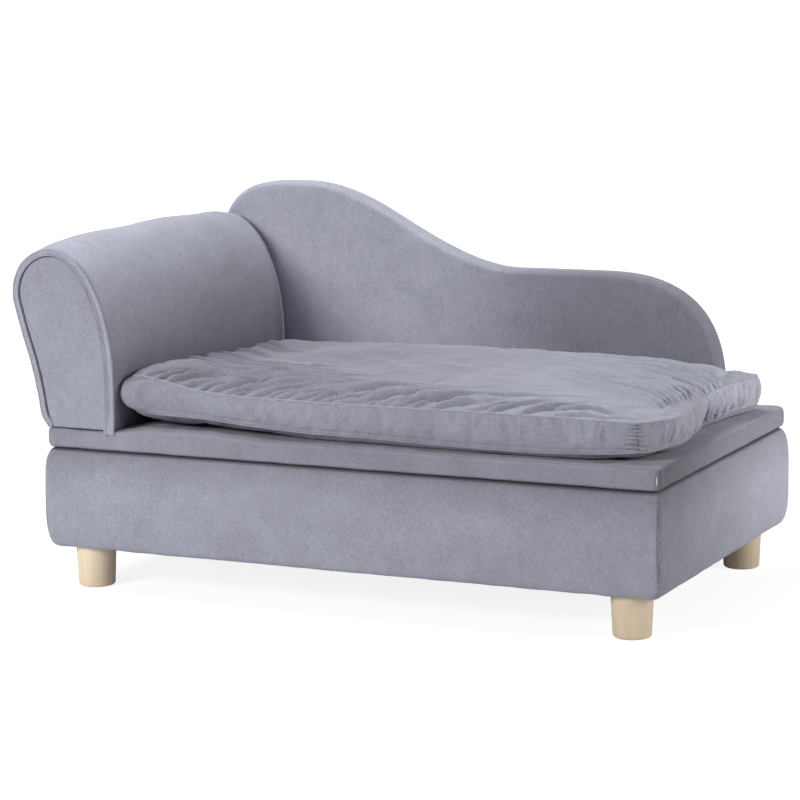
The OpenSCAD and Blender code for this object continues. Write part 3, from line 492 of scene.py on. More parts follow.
def shades(colour, *factors):
    """The same colour, lighter or darker by each factor."""
    return [tuple(min(1.0, c * factor) for c in colour) for factor in factors]


VELVET = (0.322, 0.320, 0.368)
VELVET_SHINE = 0.30
VELVET_SHEEN = (0.85, 0.85, 0.90, 1.0)


def velvet(name, light=1.0, nap=(1.1, 1.1, 4.0), painted_light=(), contrast=1.0):
    """Short grey pile: clouds where it was stroked, fine streaks along the nap, and a soft sheen.

    nap is how long the streaks are along x, y and z, in millimetres.
    painted_light lists painted light and shade, colour made gradually lighter or darker where the lamps fall
    more or less:
    (axis, from, to, factor at from, factor at to). Where only faces turned one way are meant, the axis they
    face comes next, and from and up to how far they face it. light makes the whole copy lighter or darker:
    painted light for the piece it covers.
    """
    stuff = Stuff(name, 0.9, Sheen_Weight=VELVET_SHINE, Sheen_Roughness=0.35, Sheen_Tint=VELVET_SHEEN,
                  Specular_IOR_Level=0.12)
    clouds = stuff.noise(0.060, 0.060, 0.045, detail=4.0, rough=0.55, bend=0.6)
    strokes = stuff.noise(0.010, 0.010, 0.026, rough=0.6)
    pile = stuff.noise(*(n * MM for n in nap), detail=2.0, rough=0.75)
    specks = stuff.noise(0.0021, 0.0021, 0.0021, detail=2.0, rough=0.9)
    tone = ((clouds - 0.5) * (0.30 * contrast) + (strokes - 0.5) * (0.16 * contrast)
            + (pile - 0.5) * 0.52 + (specks - 0.5) * 0.58)
    stuff.colour(stuff.span(tone + 0.5, 0.0, 1.0), *shades(VELVET, light * 0.6, light * 1.4), painted_light=painted_light)
    stuff.rough(0.84 + 0.1 * clouds)
    stuff.bump(pile + specks, 0.5 * MM, 0.7)
    return stuff.made


def woven(name, colour, size, depth):
    """Plain woven cloth: two sets of threads crossing."""
    stuff = Stuff(name, 0.9, Sheen_Weight=0.2)
    weft = stuff.bands("X", size, size, size, 0.6)
    warp = stuff.bands("DIAGONAL", size, -size, size, 0.6)
    worn = stuff.noise(0.04, 0.04, 0.04)
    stuff.colour(stuff.span(weft * warp + worn * 0.25, 0.0, 1.2), *shades(colour, 0.75, 1.25))
    stuff.bump(weft + warp, depth)
    return stuff.made


def spun_cloth(name, colour):
    """Black spun-bonded cloth with its grid of small bonded dots."""
    stuff = Stuff(name, 0.75)
    dots = stuff.cells(0.0016, 0.0016, 0.0016, 0.25)
    fibres = stuff.noise(0.0007, 0.003, 0.002)
    stuff.colour(stuff.span(dots + fibres * 0.4, 0.2, 1.0), *shades(colour, 0.6, 1.9))
    stuff.bump(dots + fibres, 0.12 * MM)
    return stuff.made


def wood(name, colour, dark, grain=(0.0045, 0.0045, 0.10), flecks=0.0, roughness=0.45, plies=0.0, painted_light=()):
    """Wood with streaks along its grain, small flecks, and plies where it is plywood; painted_light makes it
    lighter or darker along an axis, as painted light and shade.
    """
    stuff = Stuff(name, roughness, Specular_IOR_Level=0.4)
    streaks = stuff.noise(*grain, detail=5.0, rough=0.6, bend=0.4)
    broad = stuff.noise(*(g * 6 for g in grain), detail=2.0)
    tone = stuff.span(streaks * 0.7 + broad * 0.5, 0.30, 0.85)
    if flecks:
        tone = tone - stuff.span(stuff.cells(0.0014, 0.0014, 0.0065), 0.10, 0.26, flecks, 0.0)
    if plies:
        tone = tone * 0.7 + stuff.bands("Z", plies, plies, plies, 0.3) * 0.3
    stuff.colour(tone, dark, colour, painted_light)
    stuff.rough(roughness + 0.12 * (1 - streaks))
    stuff.bump(streaks, 0.10 * MM, 0.6)
    return stuff.made


def foam(name, colour, cell=0.0016):
    """Cut foam with its open cells."""
    stuff = Stuff(name, 0.95, Specular_IOR_Level=0.2)
    cells = stuff.cells(cell, cell, cell)
    aged = stuff.noise(0.06, 0.06, 0.06)
    stuff.colour(stuff.span(cells * 0.5 + aged * 0.6, 0.2, 0.9), *shades(colour, 1.06, 0.8))
    stuff.bump(cells, 0.5 * MM)
    return stuff.made


def wadding(name, colour):
    """Loose white fibre."""
    stuff = Stuff(name, 0.95, Sheen_Weight=0.3)
    fibres = stuff.noise(0.0012, 0.009, 0.0012, detail=5.0, bend=2.0)
    lumps = stuff.noise(0.03, 0.03, 0.03)
    stuff.colour(stuff.span(fibres * 0.6 + lumps * 0.5, 0.3, 0.8), *shades(colour, 0.84, 1.04))
    stuff.bump(fibres + lumps, 0.8 * MM)
    return stuff.made


def metal(name, colour, roughness, scratch=(0.02, 0.0012, 0.0012)):
    """Plated steel, a little mottled and scratched."""
    stuff = Stuff(name, roughness, Metallic=1.0)
    mottle = stuff.noise(0.012, 0.012, 0.012, detail=4.0)
    lines = stuff.noise(*scratch, detail=2.0)
    stuff.colour(stuff.span(mottle, 0.3, 0.7), *shades(colour, 0.86, 1.08))
    stuff.rough(roughness + 0.16 * (mottle - 0.5) + 0.12 * (lines - 0.5))
    stuff.bump(lines, 0.04 * MM, 0.4)
    return stuff.made


def nylon(name, colour):
    """Smooth dyed nylon."""
    stuff = Stuff(name, 0.42)
    mottle = stuff.noise(0.004, 0.002, 0.002)
    stuff.colour(mottle, *shades(colour, 0.8, 1.2))
    stuff.rough(0.36 + 0.16 * mottle)
    stuff.bump(mottle, 0.05 * MM, 0.5)
    return stuff.made


def thread(name, colour):
    """Twisted sewing thread."""
    stuff = Stuff(name, 0.6, Sheen_Weight=0.3)
    twist = stuff.bands("DIAGONAL", 0.0006, 0.0006, 0.0006)
    stuff.colour(twist, *shades(colour, 0.7, 1.2))
    stuff.bump(twist, 0.08 * MM)
    return stuff.made


# Base

def base_unevenness(points):
    """Unevenness of the base's velvet: soft swells, and small puckers beside the corner seams."""
    corner = corner_distance(points, HALF_X, HALF_Y)
    height = points[:, 2]
    inside = (ease(height, base_low.z, base_low.z + 12 * MM)
              * (1 - ease(height, base_high.z - 7 * MM, base_high.z)))
    swells = rumple(points, (0.7, 0.16, 11), (0.35, 0.05, 12))
    seam = -1.8 * MM * hump(corner, 1.5 * MM, 2.4 * MM)
    rows = np.sin(height * 2 * math.pi / 0.007 + 2.2 * drift(points, 0.05, 13))
    seen = (points[:, 0] > MID_X) & (points[:, 1] < MID_Y)
    puckers = (0.1 + 0.6 * seen) * MM * rows * hump(corner, 5 * MM, 7 * MM)
    bottom = rumple(points * [1, 1, 0.2], (0.5, 0.035, 14)) * hump(height, base_low.z, 14 * MM)
    return swells * (0.1 + 0.9 * inside) + bottom * (1 - inside) * 0.5 + (seam + puckers) * inside


def base_skin(stuff):
    """Velvet round the base, folded in over the boards and under the floor."""
    half_x, half_y = HALF_X - BASE_CROWN, HALF_Y - BASE_CROWN
    low, high = base_low.z, base_high.z
    reach_x, heights = swollen_side(half_x, low - BASE_SAG, high, BASE_CROWN, BASE_ROUND, 64)
    reach_y, _ = swollen_side(half_y, low - BASE_SAG, high, BASE_CROWN, BASE_ROUND, 64)
    folded_under = [(half_x - e, half_y - e, low) for e in (BOARD_RIM, 18 * MM, 13 * MM)]
    folded_over = [(half_x - e, half_y - e, high - drop) for e, drop in
                   ((12 * MM, 0), (17 * MM, 0), (BOARD_RIM - 1 * MM, 0.3 * MM), (BOARD_RIM, 1.6 * MM))]
    rows = folded_under + list(zip(reach_x, reach_y, heights)) + folded_over
    cut = Cut()
    rings = stacked_rings([(x, y, BASE_CORNER_R, z) for x, y, z in rows], BASE_COUNTS)
    cut.patch(rings, around=True)
    mesh = cut.mesh("base_skin")
    push(mesh, base_unevenness)
    velvet_skin("base_skin", mesh, "base", stuff, "base_cover")


def corner_stitches(stuff):
    """Dark thread that shows here and there down the corner seams of the base."""
    middle, rise = (base_low.z + base_high.z) / 2, (base_high.z - base_low.z) / 2
    cut = Cut()
    pitch, length = 3.4 * MM, 2.6 * MM
    for sx in (-1, 1):
        for sy in (-1, 1):
            for k, z in enumerate(np.arange(base_low.z + 12 * MM, base_high.z - 8 * MM, pitch)):
                share = abs(z + length / 2 - middle) / rise
                back_in = (BASE_ROUND + BASE_CROWN) * (1 - (1 - share**3.64) ** 0.31) + SEAM_INSET
                aside = (0.5 if k % 2 else -0.3) * MM
                x = MID_X + sx * (HALF_X - back_in) - aside
                y = MID_Y + sy * (HALF_Y - back_in) + sx * sy * aside
                line = [(x, y, z), (x + 0.1 * MM * sx, y, z + length / 2), (x, y, z + length)]
                tube(cut, line, 0.6 * MM, 6)
    add_piece("corner_stitches", cut.mesh("corner_stitches"), "base", stuff)


# Top board

def top_skin(stuff):
    """Velvet over the top board, folded in under its edges."""
    half_x = (top_high.x - top_low.x) / 2 - TOP_CROWN
    half_y = (top_high.y - top_low.y) / 2 - TOP_CROWN
    low, high = top_low.z, top_high.z
    reach_x, heights = swollen_side(half_x, low, high, TOP_CROWN, TOP_ROUND, 22)
    reach_y, _ = swollen_side(half_y, low, high, TOP_CROWN, TOP_ROUND, 22)
    inner = 22 * MM
    rows = [(half_x - e, half_y - e, TOP_CORNER_R, low) for e in (TOP_FLAP, TOP_FLAP * 0.7, TOP_FLAP * 0.4)]
    rows += [(x, y, TOP_CORNER_R, z) for x, y, z in zip(reach_x, reach_y, heights)]
    rows += [(half_x - e, half_y - e, TOP_CORNER_R * (1 - e / inner), high)
             for e in np.array([9, 12.5, 16, 19, 22]) * MM]
    cut = Cut()
    cut.patch(stacked_rings(rows, TOP_COUNTS), around=True)
    count_x, count_y, _ = TOP_COUNTS
    x = MID_X + np.linspace(inner - half_x, half_x - inner, count_x + 1)
    y = MID_Y + np.linspace(inner - half_y, half_y - inner, count_y + 1)
    cut.patch(np.stack([*np.meshgrid(x, y), np.full((count_y + 1, count_x + 1), high)], -1))
    mesh = cut.mesh("top_skin", 2e-5)

    def unevenness(points):
        x, y, z = points.T
        corner = corner_distance(points, half_x, half_y)
        on_top = ease(z, high - 5 * MM, high)
        front = hump(y, MID_Y - half_y + 10 * MM, 14 * MM)
        pressed = (ease(x, ARM_IN_X + 2 * MM, ARM_IN_X + 40 * MM)
                   * (1 - ease(x, ARM_IN_X + 90 * MM, ARM_IN_X + 210 * MM)))
        puff = 5.5 * MM * pressed * front * on_top
        swells = rumple(points, (0.45, 0.11, 21), (0.3, 0.03, 22))
        side = 1 - ease(z, high - 4 * MM, high)
        seam = -1.0 * MM * hump(corner, 1.2 * MM, 2.2 * MM) * side
        tuck = 0.8 * MM * hump(corner, 9 * MM, 4 * MM) * side * ease(z, low, low + 8 * MM)
        lower_edge = rumple(points * [1, 1, 0.1], (0.3, 0.05, 23)) * (1 - ease(z, low, low + 9 * MM))
        return puff + swells * (0.2 + 0.8 * on_top) + seam + tuck + lower_edge

    push(mesh, unevenness)
    points = coords(mesh)
    points[:, 2] = np.maximum(points[:, 2], low)
    set_coords(mesh, points)
    velvet_skin("top_skin", mesh, "top", stuff, "seat_cover")


# Arm

def arm_line(inset, steps=60):
    """Outline of the arm in x and z, from its inner foot over the roll to its outer foot."""
    width, height = ARM_IN_X - ROLL_X, ARM_H - ARM_SHOULDER
    turn = np.linspace(0, math.pi / 2, steps)
    out = np.column_stack([np.cos(turn) / width, np.sin(turn) / height])
    out /= np.linalg.norm(out, axis=1)[:, None]
    shoulder = np.column_stack([ROLL_X + width * np.cos(turn), ARM_Z0 + ARM_SHOULDER + height * np.sin(turn)])
    shoulder -= inset * out
    turn = np.linspace(math.pi / 2, math.pi + ARM_LEAN, steps)[1:]
    roll = np.column_stack([np.cos(turn), np.sin(turn)]) * (ARM_ROLL_R - inset) + [ROLL_X, ROLL_Z]
    last = roll[-1]
    height = last[1] + (ARM_Z0 - last[1]) * np.linspace(0, 1, 26)[1:]
    hollow = (2.2 * MM * hump(height, ARM_Z0 + 66 * MM, 34 * MM)
              - 1.4 * MM * hump(height, ARM_Z0 + 15 * MM, 14 * MM))
    lean = last[0] + math.tan(ARM_LEAN) * (last[1] - height) + hollow
    return np.concatenate([[[ARM_IN_X - inset, ARM_Z0]], shoulder, roll, np.column_stack([lean, height])])


def arm_skin(stuff):
    """Velvet sleeve round the arm, closed under its foot."""
    line = resampled(arm_line(0), 3 * MM)
    sole = resampled(np.array([line[-1], line[0]]), 8 * MM)[1:-1]
    ring = np.concatenate([line, sole])
    ends = np.array([0, 0.6, 1.2, 2.0, 3.2]) * MM
    drawn = np.array([1.9, 0.9, 0.4, 0.12, 0.0]) * MM
    y_low, y_high = arm_low.y, arm_high.y
    middle = np.linspace(y_low + 5 * MM, y_high - 5 * MM, 104)
    places = np.concatenate([y_low + ends, middle, (y_high - ends)[::-1]])
    insets = np.concatenate([drawn, np.zeros(len(middle)), drawn[::-1]])
    out = ring - (ring.min(0) + ring.max(0)) / 2
    out /= np.linalg.norm(out, axis=1)[:, None]
    cut = Cut()
    cut.patch(np.array([
        np.column_stack([ring[:, 0] - out[:, 0] * e, np.full(len(ring), y), ring[:, 1] - out[:, 1] * e])
        for y, e in zip(places, insets)]), around=True)
    mesh = cut.mesh("arm_skin")

    def unevenness(points):
        x, y, z = points.T
        inside = ease(y, y_low + 3 * MM, y_low + 25 * MM) * (1 - ease(y, y_high - 25 * MM, y_high - 3 * MM))
        above = ease(z, ARM_Z0, ARM_Z0 + 14 * MM)
        swell = table_line(y - y_low, ARM_FULL)
        swell *= 0.08 + 0.92 * ease(z, ARM_Z0 + 80 * MM, arm_high.z - 20 * MM)
        swells = rumple(points, (0.35, 0.14, 31), (0.2, 0.045, 32))
        foot_folds = rumple(points * [1, 1, 0.35], (0.6, 0.03, 33)) * hump(z, ARM_Z0, 26 * MM)
        return (swell + swells * inside + foot_folds) * above

    push(mesh, unevenness)
    velvet_skin("arm_skin", mesh, "top", stuff, "arm_cover")


# Section of the sewn edge, in millimetres in from the outline, and in shares of its depth behind its own face
WELT_SECTION = (
    (0.6, 1.0), (-0.2, 0.72), (-0.55, 0.42), (-0.5, 0.12), (0.0, -0.06), (0.55, -0.05), (1.05, 0.12),
    (2.2, 0.20), (3.8, 0.18), (5.0, 0.16), (5.7, 0.0), (6.2, -0.2), (6.8, -0.24), (7.3, -0.1),
    (7.5, 0.2), (7.3, 1.0))


def end_face(node, side):
    """Place of an arm end's face; side is -1 in front and 1 behind."""
    low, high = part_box(node)
    return low.y if side < 0 else high.y


def welt(name, node, stuff, side):
    """Sewn edge of an arm end: a flat band with a raised lip along each side. Its front foot hangs over."""
    low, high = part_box(node)
    line = resampled(arm_line(0), 2.5 * MM)
    ahead = directions(line)
    out = np.column_stack([ahead[:, 1], -ahead[:, 0]])
    along = np.concatenate([[0], np.cumsum(np.linalg.norm(np.diff(line, axis=0), axis=1))])
    hang = hump(along, 0, 14 * MM) if side < 0 else np.zeros(len(along))
    tucked = 4.0 * MM * hump(along[-1] - along, 0, 8 * MM)
    grid = []
    for inset, behind in WELT_SECTION:
        spot = line - out * (inset * MM * (1 + 0.6 * hang))[:, None]
        y = end_face(node, side) - side * behind * (high.y - low.y) + side * 1.7 * MM * hang
        drop = 5.0 * MM * hang * (1 - 0.25 * abs(inset - 3.5) / 3.5)
        grid.append(np.column_stack([spot[:, 0] + tucked, y, spot[:, 1] - drop]))
    grid = np.array(grid)
    cut = Cut()
    cut.patch(grid, over=True)
    cut.cap(grid[:, 0], -0.6 * MM)
    cut.cap(grid[:, -1])
    mesh = cut.mesh(name)
    push(mesh, lambda points: rumple(points, (0.16, 0.02, 41), (0.10, 0.007, 42)))
    add_piece(name, mesh, "top", stuff, [node])


def end_panel(name, node, stuff, side):
    """Flat velvet panel inside the sewn edge, swollen by the pad under it."""
    face = end_face(node, side)
    line = arm_line(WELT_W - 0.3 * MM, 90)
    top = line[:, 1].argmax()
    foot = ARM_Z0 - 0.8 * MM
    climb = np.sin(np.linspace(0, math.pi / 2, 84))
    heights = foot + (line[top, 1] - 0.02 * MM - foot) * climb
    right_x = np.interp(heights, line[:top + 1, 1], line[:top + 1, 0])
    left_x = np.interp(heights, line[top:, 1][::-1], line[top:, 0][::-1])
    share = (1 - np.cos(np.linspace(0, math.pi, 40))) / 2
    x = left_x[:, None] + (right_x - left_x)[:, None] * share[None]
    z = np.repeat(heights[:, None], 40, 1)
    rim = resampled(line, 2 * MM)
    gap = np.sqrt(((np.stack([x, z], -1)[:, :, None] - rim[None, None]) ** 2).sum(-1)).min(-1)
    swell = 1 - np.exp(-np.minimum(gap, (z - foot) * 1.6) / (7 * MM))
    points = np.stack([x, np.zeros_like(x), z], -1)
    uneven = rumple(points.reshape(-1, 3), (0.35, 0.05, 51)).reshape(x.shape)
    groove = PANEL_T * np.exp(-((gap / (1.9 * MM)) ** 2))
    points[..., 1] = face + side * (1.3 * MM * swell + uneven * swell - groove)
    cut = Cut()
    cut.patch(points)
    under = points.copy()
    under[..., 1] = face - side * PANEL_T
    cut.patch(under, flip=True)
    edges = [np.concatenate([g[0], g[1:, -1], g[-1, -2::-1], g[-2:0:-1, 0]]) for g in (points, under)]
    cut.patch(np.stack(edges), around=True)
    add_piece(name, cut.mesh(name), "top", stuff, [node])


# Back

def back_line(inset=0.0):
    """Outline of the back in x and z, from its lower left corner over the hump to its lower right corner."""
    steps = 40
    left, right, low, foot = back_low.x, back_high.x, back_low.z, top_high.z
    hump_x = left + HUMP_IN
    bend_x = hump_x + SLOPE_L + LEVEL_L
    hump_h = back_high.z - foot
    turn = np.linspace(0, math.pi / 2, steps)
    left_end = np.column_stack([hump_x - (hump_x - left) * np.cos(turn) ** (2 / HUMP_POWER),
                                foot + hump_h * np.sin(turn) ** (2 / HUMP_POWER)])
    t = np.linspace(0, 1, steps)[1:]
    slope = np.column_stack([hump_x + SLOPE_L * t,
                             foot + LOW_BACK_H + (hump_h - LOW_BACK_H) * (1 + np.cos(math.pi * t)) / 2])
    turn = turn[::-1]
    right_end = np.column_stack([bend_x + (right - bend_x) * np.cos(turn) ** (2 / LOW_POWER),
                                 foot + LOW_BACK_H * np.sin(turn) ** (2 / LOW_POWER)])
    line = resampled(np.concatenate([[[left, low]], left_end, slope, right_end, [[right, low]]]), 4 * MM)
    ahead = directions(line)
    moved = line - np.column_stack([-ahead[:, 1], ahead[:, 0]]) * inset
    moved[0], moved[-1] = (left + inset, low + inset), (right - inset, low + inset)
    return moved


def back_skin(stuff):
    """Velvet round the back, with soft edges and a closing panel behind."""
    front, rear, r = back_low.y, back_high.y, BACK_ROUND
    rim = back_line()

    def ring(inset, y):
        line = back_line(inset)
        share = np.linspace(1, 0, len(rim))[1:-1, None]
        closed = np.concatenate([line, line[0] * (1 - share) + line[-1] * share])
        return np.column_stack([closed[:, 0], np.full(len(closed), y), closed[:, 1]])

    turns = np.linspace(0, math.pi / 2, 7)
    rows = [ring(r * (1 - math.sin(a)), front + r * (1 - math.cos(a))) for a in turns]
    rows += [ring(0, y) for y in np.linspace(front + r, rear - r, 5)[1:-1]]
    rows += [ring(r * (1 - math.sin(a)), rear - r * (1 - math.cos(a))) for a in turns[::-1]]
    cut = Cut()
    cut.patch(np.array(rows), around=True)
    line = back_line(r)
    foot = line[0] + (line[-1] - line[0]) * np.linspace(0, 1, len(line))[:, None]
    share = np.linspace(0, 1, 44)[:, None, None]
    face = line[None] * (1 - share) + foot[None] * share
    for y, flip in ((front, False), (rear, True)):
        cut.patch(np.stack([face[..., 0], np.full(face.shape[:2], y), face[..., 1]], -1), flip=flip)
    mesh = cut.mesh("back_skin", 2e-5)

    def unevenness(points):
        x, y, z = points.T
        gap = np.sqrt(((points[:, None, [0, 2]] - rim[None]) ** 2).sum(-1)).min(-1)
        front_face = 1 - ease(y, front + 1 * MM, front + 8 * MM)
        rear_face = ease(y, rear - 8 * MM, rear - 1 * MM)
        crown = 1.8 * MM * (1 - np.exp(-gap / (22 * MM))) * front_face
        swells = rumple(points, (0.8, 0.13, 61), (0.3, 0.05, 62))
        closing = -1.1 * MM * hump(gap, 17 * MM, 1.9 * MM) * rear_face
        lip = 0.7 * MM * hump(gap, 20.5 * MM, 2.2 * MM) * rear_face
        creases = hump(x, CREASE_X, 1.3 * MM) + 0.7 * hump(x, CREASE_X + 9 * MM, 1.3 * MM)
        return crown + swells * (0.3 + 0.7 * front_face) + closing + lip + 0.8 * MM * creases * front_face

    push(mesh, unevenness)
    velvet_skin("back_skin", mesh, "top", stuff, "back_cover")


# Cushion

def pad_plan(u, v, right_edge):
    """Plan place of share u along and v across the cushion, both from 0 to 1."""
    y_now = v * PAD_D
    corner = 7 * MM * (np.abs(2 * u - 1) ** 14) * (np.abs(2 * v - 1) ** 14)
    corner *= 1 - 0.75 * (1 - ease(u, 0.0, 0.3))
    x = PAD_X0 + u * PAD_L + table_line(y_now, right_edge) * u**3 - corner * (2 * u - 1) - 0.3 * MM
    y = PAD_Y0 + y_now - corner * (2 * v - 1)
    nose = np.exp(-(u * PAD_L + y_now) / (16 * MM))
    x, y = x + 9.5 * MM * nose, y + 3 * MM * nose
    y += 2.4 * MM * (1 - (2 * u - 1) ** 2) * (1 - v) ** 3 - 4 * MM * (1 - (2 * u - 1) ** 2) * v**3
    return x, y


def between_edges(u, v, front, rear, left, right):
    """Height over the whole cushion from the heights along its four edges."""
    along = (1 - v) * front(u) + v * rear(u)
    across = (1 - u) * left(v) + u * right(v)
    corners = ((1 - v) * ((1 - u) * front(0 * u) + u * front(0 * u + 1))
               + v * ((1 - u) * rear(0 * u) + u * rear(0 * u + 1)))
    return along + across - corners


def pad_seams(u, v):
    """Heights of the lower and the upper seam line, carried over the whole cushion."""
    upper = between_edges(
        u, v, lambda u: table_line(u * PAD_L, FRONT_UPPER), lambda u: (43 - 2.5 * u**3) * MM,
        lambda v: table_line(v * PAD_D, LEFT_UPPER),
        lambda v: (42.4 + 2.5 * v**2 - 4.4 * v**3 - 5 * np.sin(math.pi * v) ** 2 * (1 - v)) * MM)
    lower = between_edges(
        u, v, lambda u: table_line(u * PAD_L, FRONT_LOWER), lambda u: (9 - 0.5 * u) * MM,
        lambda v: table_line(v * PAD_D, LEFT_LOWER),
        lambda v: (11.5 - (3 * v + 3.5 * np.sin(math.pi * v))) * MM)
    return PAD_Z + lower, PAD_Z + upper


def folds(x, y, spots, tip=0.06):
    """Raised folds with a crisp lower side: (start x, start y, angle, length, bend, width, height) each.

    Spots are in millimetres, counted from the cushion's front left corner, with angles in degrees.
    tip is the share of its length over which a fold rises from its start.
    """
    total = np.zeros_like(x)
    x, y = (x - PAD_X0) / MM, (y - PAD_Y0) / MM
    for start_x, start_y, angle, length, bend, width, rise in spots:
        a = math.radians(angle)
        ahead = (x - start_x) * math.cos(a) + (y - start_y) * math.sin(a)
        aside = -(x - start_x) * math.sin(a) + (y - start_y) * math.cos(a)
        t = ahead / length
        off = (aside - bend * t**2) / (width * (0.75 + 0.7 * np.clip(t, 0, 1)))
        ridge = np.exp(-np.abs(np.where(off < 0, off * 1.5, off)) ** 1.4)
        valley = 1.05 * np.exp(-((off + 1.1) / 0.48) ** 2)
        fade = ease(t, -0.03, tip) * (1 - ease(t, max(0.3, tip), 1.0))
        total += rise * MM * fade * (ridge - valley)
    return FOLD_LIMIT * np.tanh(total / FOLD_LIMIT)


def broad_folds(x, y):
    """The long soft folds across the left end of the cushion and in from its rear."""
    rng = np.random.default_rng(7)
    spots = [(16 + 14 * k, 86 + 44 * k, 12 - 14 * k, 230, -rng.uniform(20, 40), rng.uniform(7, 10),
              rng.uniform(2.4, 3.6)) for k in range(3)]
    spots += [(70 + 66 * k + rng.uniform(-9, 9), PAD_D / MM - 20, 270 + rng.uniform(-24, 24),
               rng.uniform(70, 150), rng.uniform(-20, 20), rng.uniform(6, 9), rng.uniform(0.4, 0.8))
              for k in range(8)]
    return folds(x, y, spots, tip=0.4)


def fine_folds(x, y):
    """The narrow gathers that start at the upper seam of the cushion."""
    rng = np.random.default_rng(17)
    # A sheaf from the left part of the front seam, sweeping over to the right until it lies along the seam
    spots = [(16 + 17 * k + rng.uniform(-3, 3), 0, 47 - 1.3 * k + rng.uniform(-6, 6), rng.uniform(130, 260),
              -rng.uniform(0.20, 0.34) * 170, rng.uniform(2.9, 5.2), rng.uniform(1.6, 3.4))
             for k in range(19)]
    # A fan from the right end, running to the left rear
    for k in range(20):
        start = 64 + 15.2 * k + rng.uniform(-3, 3)
        spots.append((PAD_L / MM - 2, start, 151 + (start - 64) * 0.055 + rng.uniform(-3, 3),
                      rng.uniform(130, 250), rng.uniform(-6, 12), rng.uniform(3.8, 6.0),
                      rng.uniform(2.0, 3.4) * (1 - 0.85 * ease(start, 200, 320))))
    # Low ones from the rest of the front seam, and two creases along it near the corner
    spots += [(345 + 31 * k + rng.uniform(-6, 6), 0, 36 + rng.uniform(-7, 7), rng.uniform(70, 130),
               -rng.uniform(8, 18), rng.uniform(3.4, 5.0), rng.uniform(1.4, 2.4)) for k in range(5)]
    spots += [(498, 20, 5, 110, -3, 3.6, 1.5), (512, 7, 5, 110, -3, 3.6, 1.3)]
    # Those from the rear part of the left end slant forward
    spots += [(3, 128 + 37 * k + rng.uniform(-8, 8), -20 - 3 * k + rng.uniform(-4, 4), rng.uniform(90, 160),
               rng.uniform(6, 22), rng.uniform(4.6, 7.0), rng.uniform(0.8, 1.6)) for k in range(6)]
    return folds(x, y, spots)


def strip_folds(along, drop, spots):
    """Slanted puckers of a side strip. Each spot is (place, slant, width, height, from level, to level)."""
    total = np.zeros_like(along)
    for place, slant, width, rise, start, end in spots:
        off = (along - place * MM - slant * MM * (drop - 0.5)) / (width * MM)
        ridge = np.exp(-np.abs(np.where(off < 0, off * 1.4, off)) ** 1.5)
        valley = 0.45 * np.exp(-((off + 1.2) / 0.55) ** 2)
        fade = ease(drop, start - 0.12, start + 0.12) * (1 - ease(drop, end - 0.15, end + 0.15))
        total += rise * MM * fade * (ridge - valley)
    return total


def puckers_of(rng, count, first, pitch, stray, slant, width, rise, start, end):
    """Puckers a pitch apart, each term after the stray drawn between two bounds."""
    return [(first + pitch * k + rng.uniform(-stray, stray), rng.uniform(*slant), rng.uniform(*width),
             rng.uniform(*rise), rng.uniform(*start), rng.uniform(*end)) for k in range(count)]


def right_puckers():
    """The gathers of the right strip: slight beside its corner, deep where it is drawn in, fine beyond."""
    rng = np.random.default_rng(5)
    return (puckers_of(rng, 10, 34, 10, 3, (-12, 10), (2.2, 3.6), (1.0, 2.2), (0, 0.3), (0.6, 1.0))
            + puckers_of(rng, 13, 138, 9.0, 1, (8, 15), (3.0, 3.8), (3.0, 4.6), (0, 0.15), (0.8, 1.0))
            + puckers_of(rng, 9, 256, 11, 3, (-2, 12), (2.6, 4.0), (1.4, 3.2), (0, 0.3), (0.6, 1.0)))


def front_puckers():
    """The small ones beside the corner seam, fewer further left."""
    rng = np.random.default_rng(9)
    return [(585 - 9 * k + rng.uniform(-3, 3), rng.uniform(-8, 12), rng.uniform(1.8, 3),
             rng.uniform(0.6, 1.5), 0.0, rng.uniform(0.2, 0.6)) for k in range(22)]


def edge_gap(u, v):
    """How far a place on the cushion lies from its nearest side."""
    return np.minimum(np.minimum(u, 1 - u) * PAD_L, np.minimum(v, 1 - v) * PAD_D)


def pad_detail(points, facing):
    """Height of the cushion's fine folds: gathers on its top, puckers and a stitched hem on its strip."""
    x, y, z = points.T
    u, v = np.clip((x - PAD_X0) / PAD_L, 0, 1), np.clip((y - PAD_Y0) / PAD_D, 0, 1)
    lower, upper = pad_seams(u, v)
    on_top = ease(facing[:, 2], 0.25, 0.6) * ease(z, upper - 2 * MM, upper + 1 * MM)
    on_strip = (1 - ease(np.abs(facing[:, 2]), 0.6, 0.9)) * (1 - on_top)
    on_strip *= ease(z, lower - 1 * MM, lower + 1 * MM)
    wander = np.stack([x, y, 0 * x], -1)
    gathers = fine_folds(x + rumple(wander, (2.4, 0.06, 73)), y + rumple(wander, (2.4, 0.05, 74)))
    total = on_top * GATHERS * gathers * (0.22 + 0.78 * ease(edge_gap(u, v), 0, 12 * MM))

    drop = np.clip((upper - z) / (upper - lower), 0, 1)
    right, front = ease(facing[:, 0], 0.5, 0.85), ease(-facing[:, 1], 0.5, 0.85)
    puckers = (right * strip_folds(y - PAD_Y0, drop, right_puckers())
               + front * strip_folds(x - PAD_X0, drop, front_puckers()))
    # Small pleats on both sides of the upright corner seam
    seam_gap = np.hypot(x - CORNER_SEAM_X, y - CORNER_SEAM_Y)
    rows = np.sin(z * 2 * math.pi / (4.6 * MM) + 1.5 * drift(points, 0.03, 75))
    pleats = 1.6 * MM * rows * hump(seam_gap, 4 * MM, 7 * MM)
    corner_groove = -2.0 * MM * hump(seam_gap, 0, 2.2 * MM)
    hem = -0.7 * MM * hump(z - lower, 4.4 * MM, 1.0 * MM) + 0.35 * MM * hump(z - lower, 2.2 * MM, 1.0 * MM)
    return total + on_strip * (puckers + pleats + corner_groove + hem * (front + right))


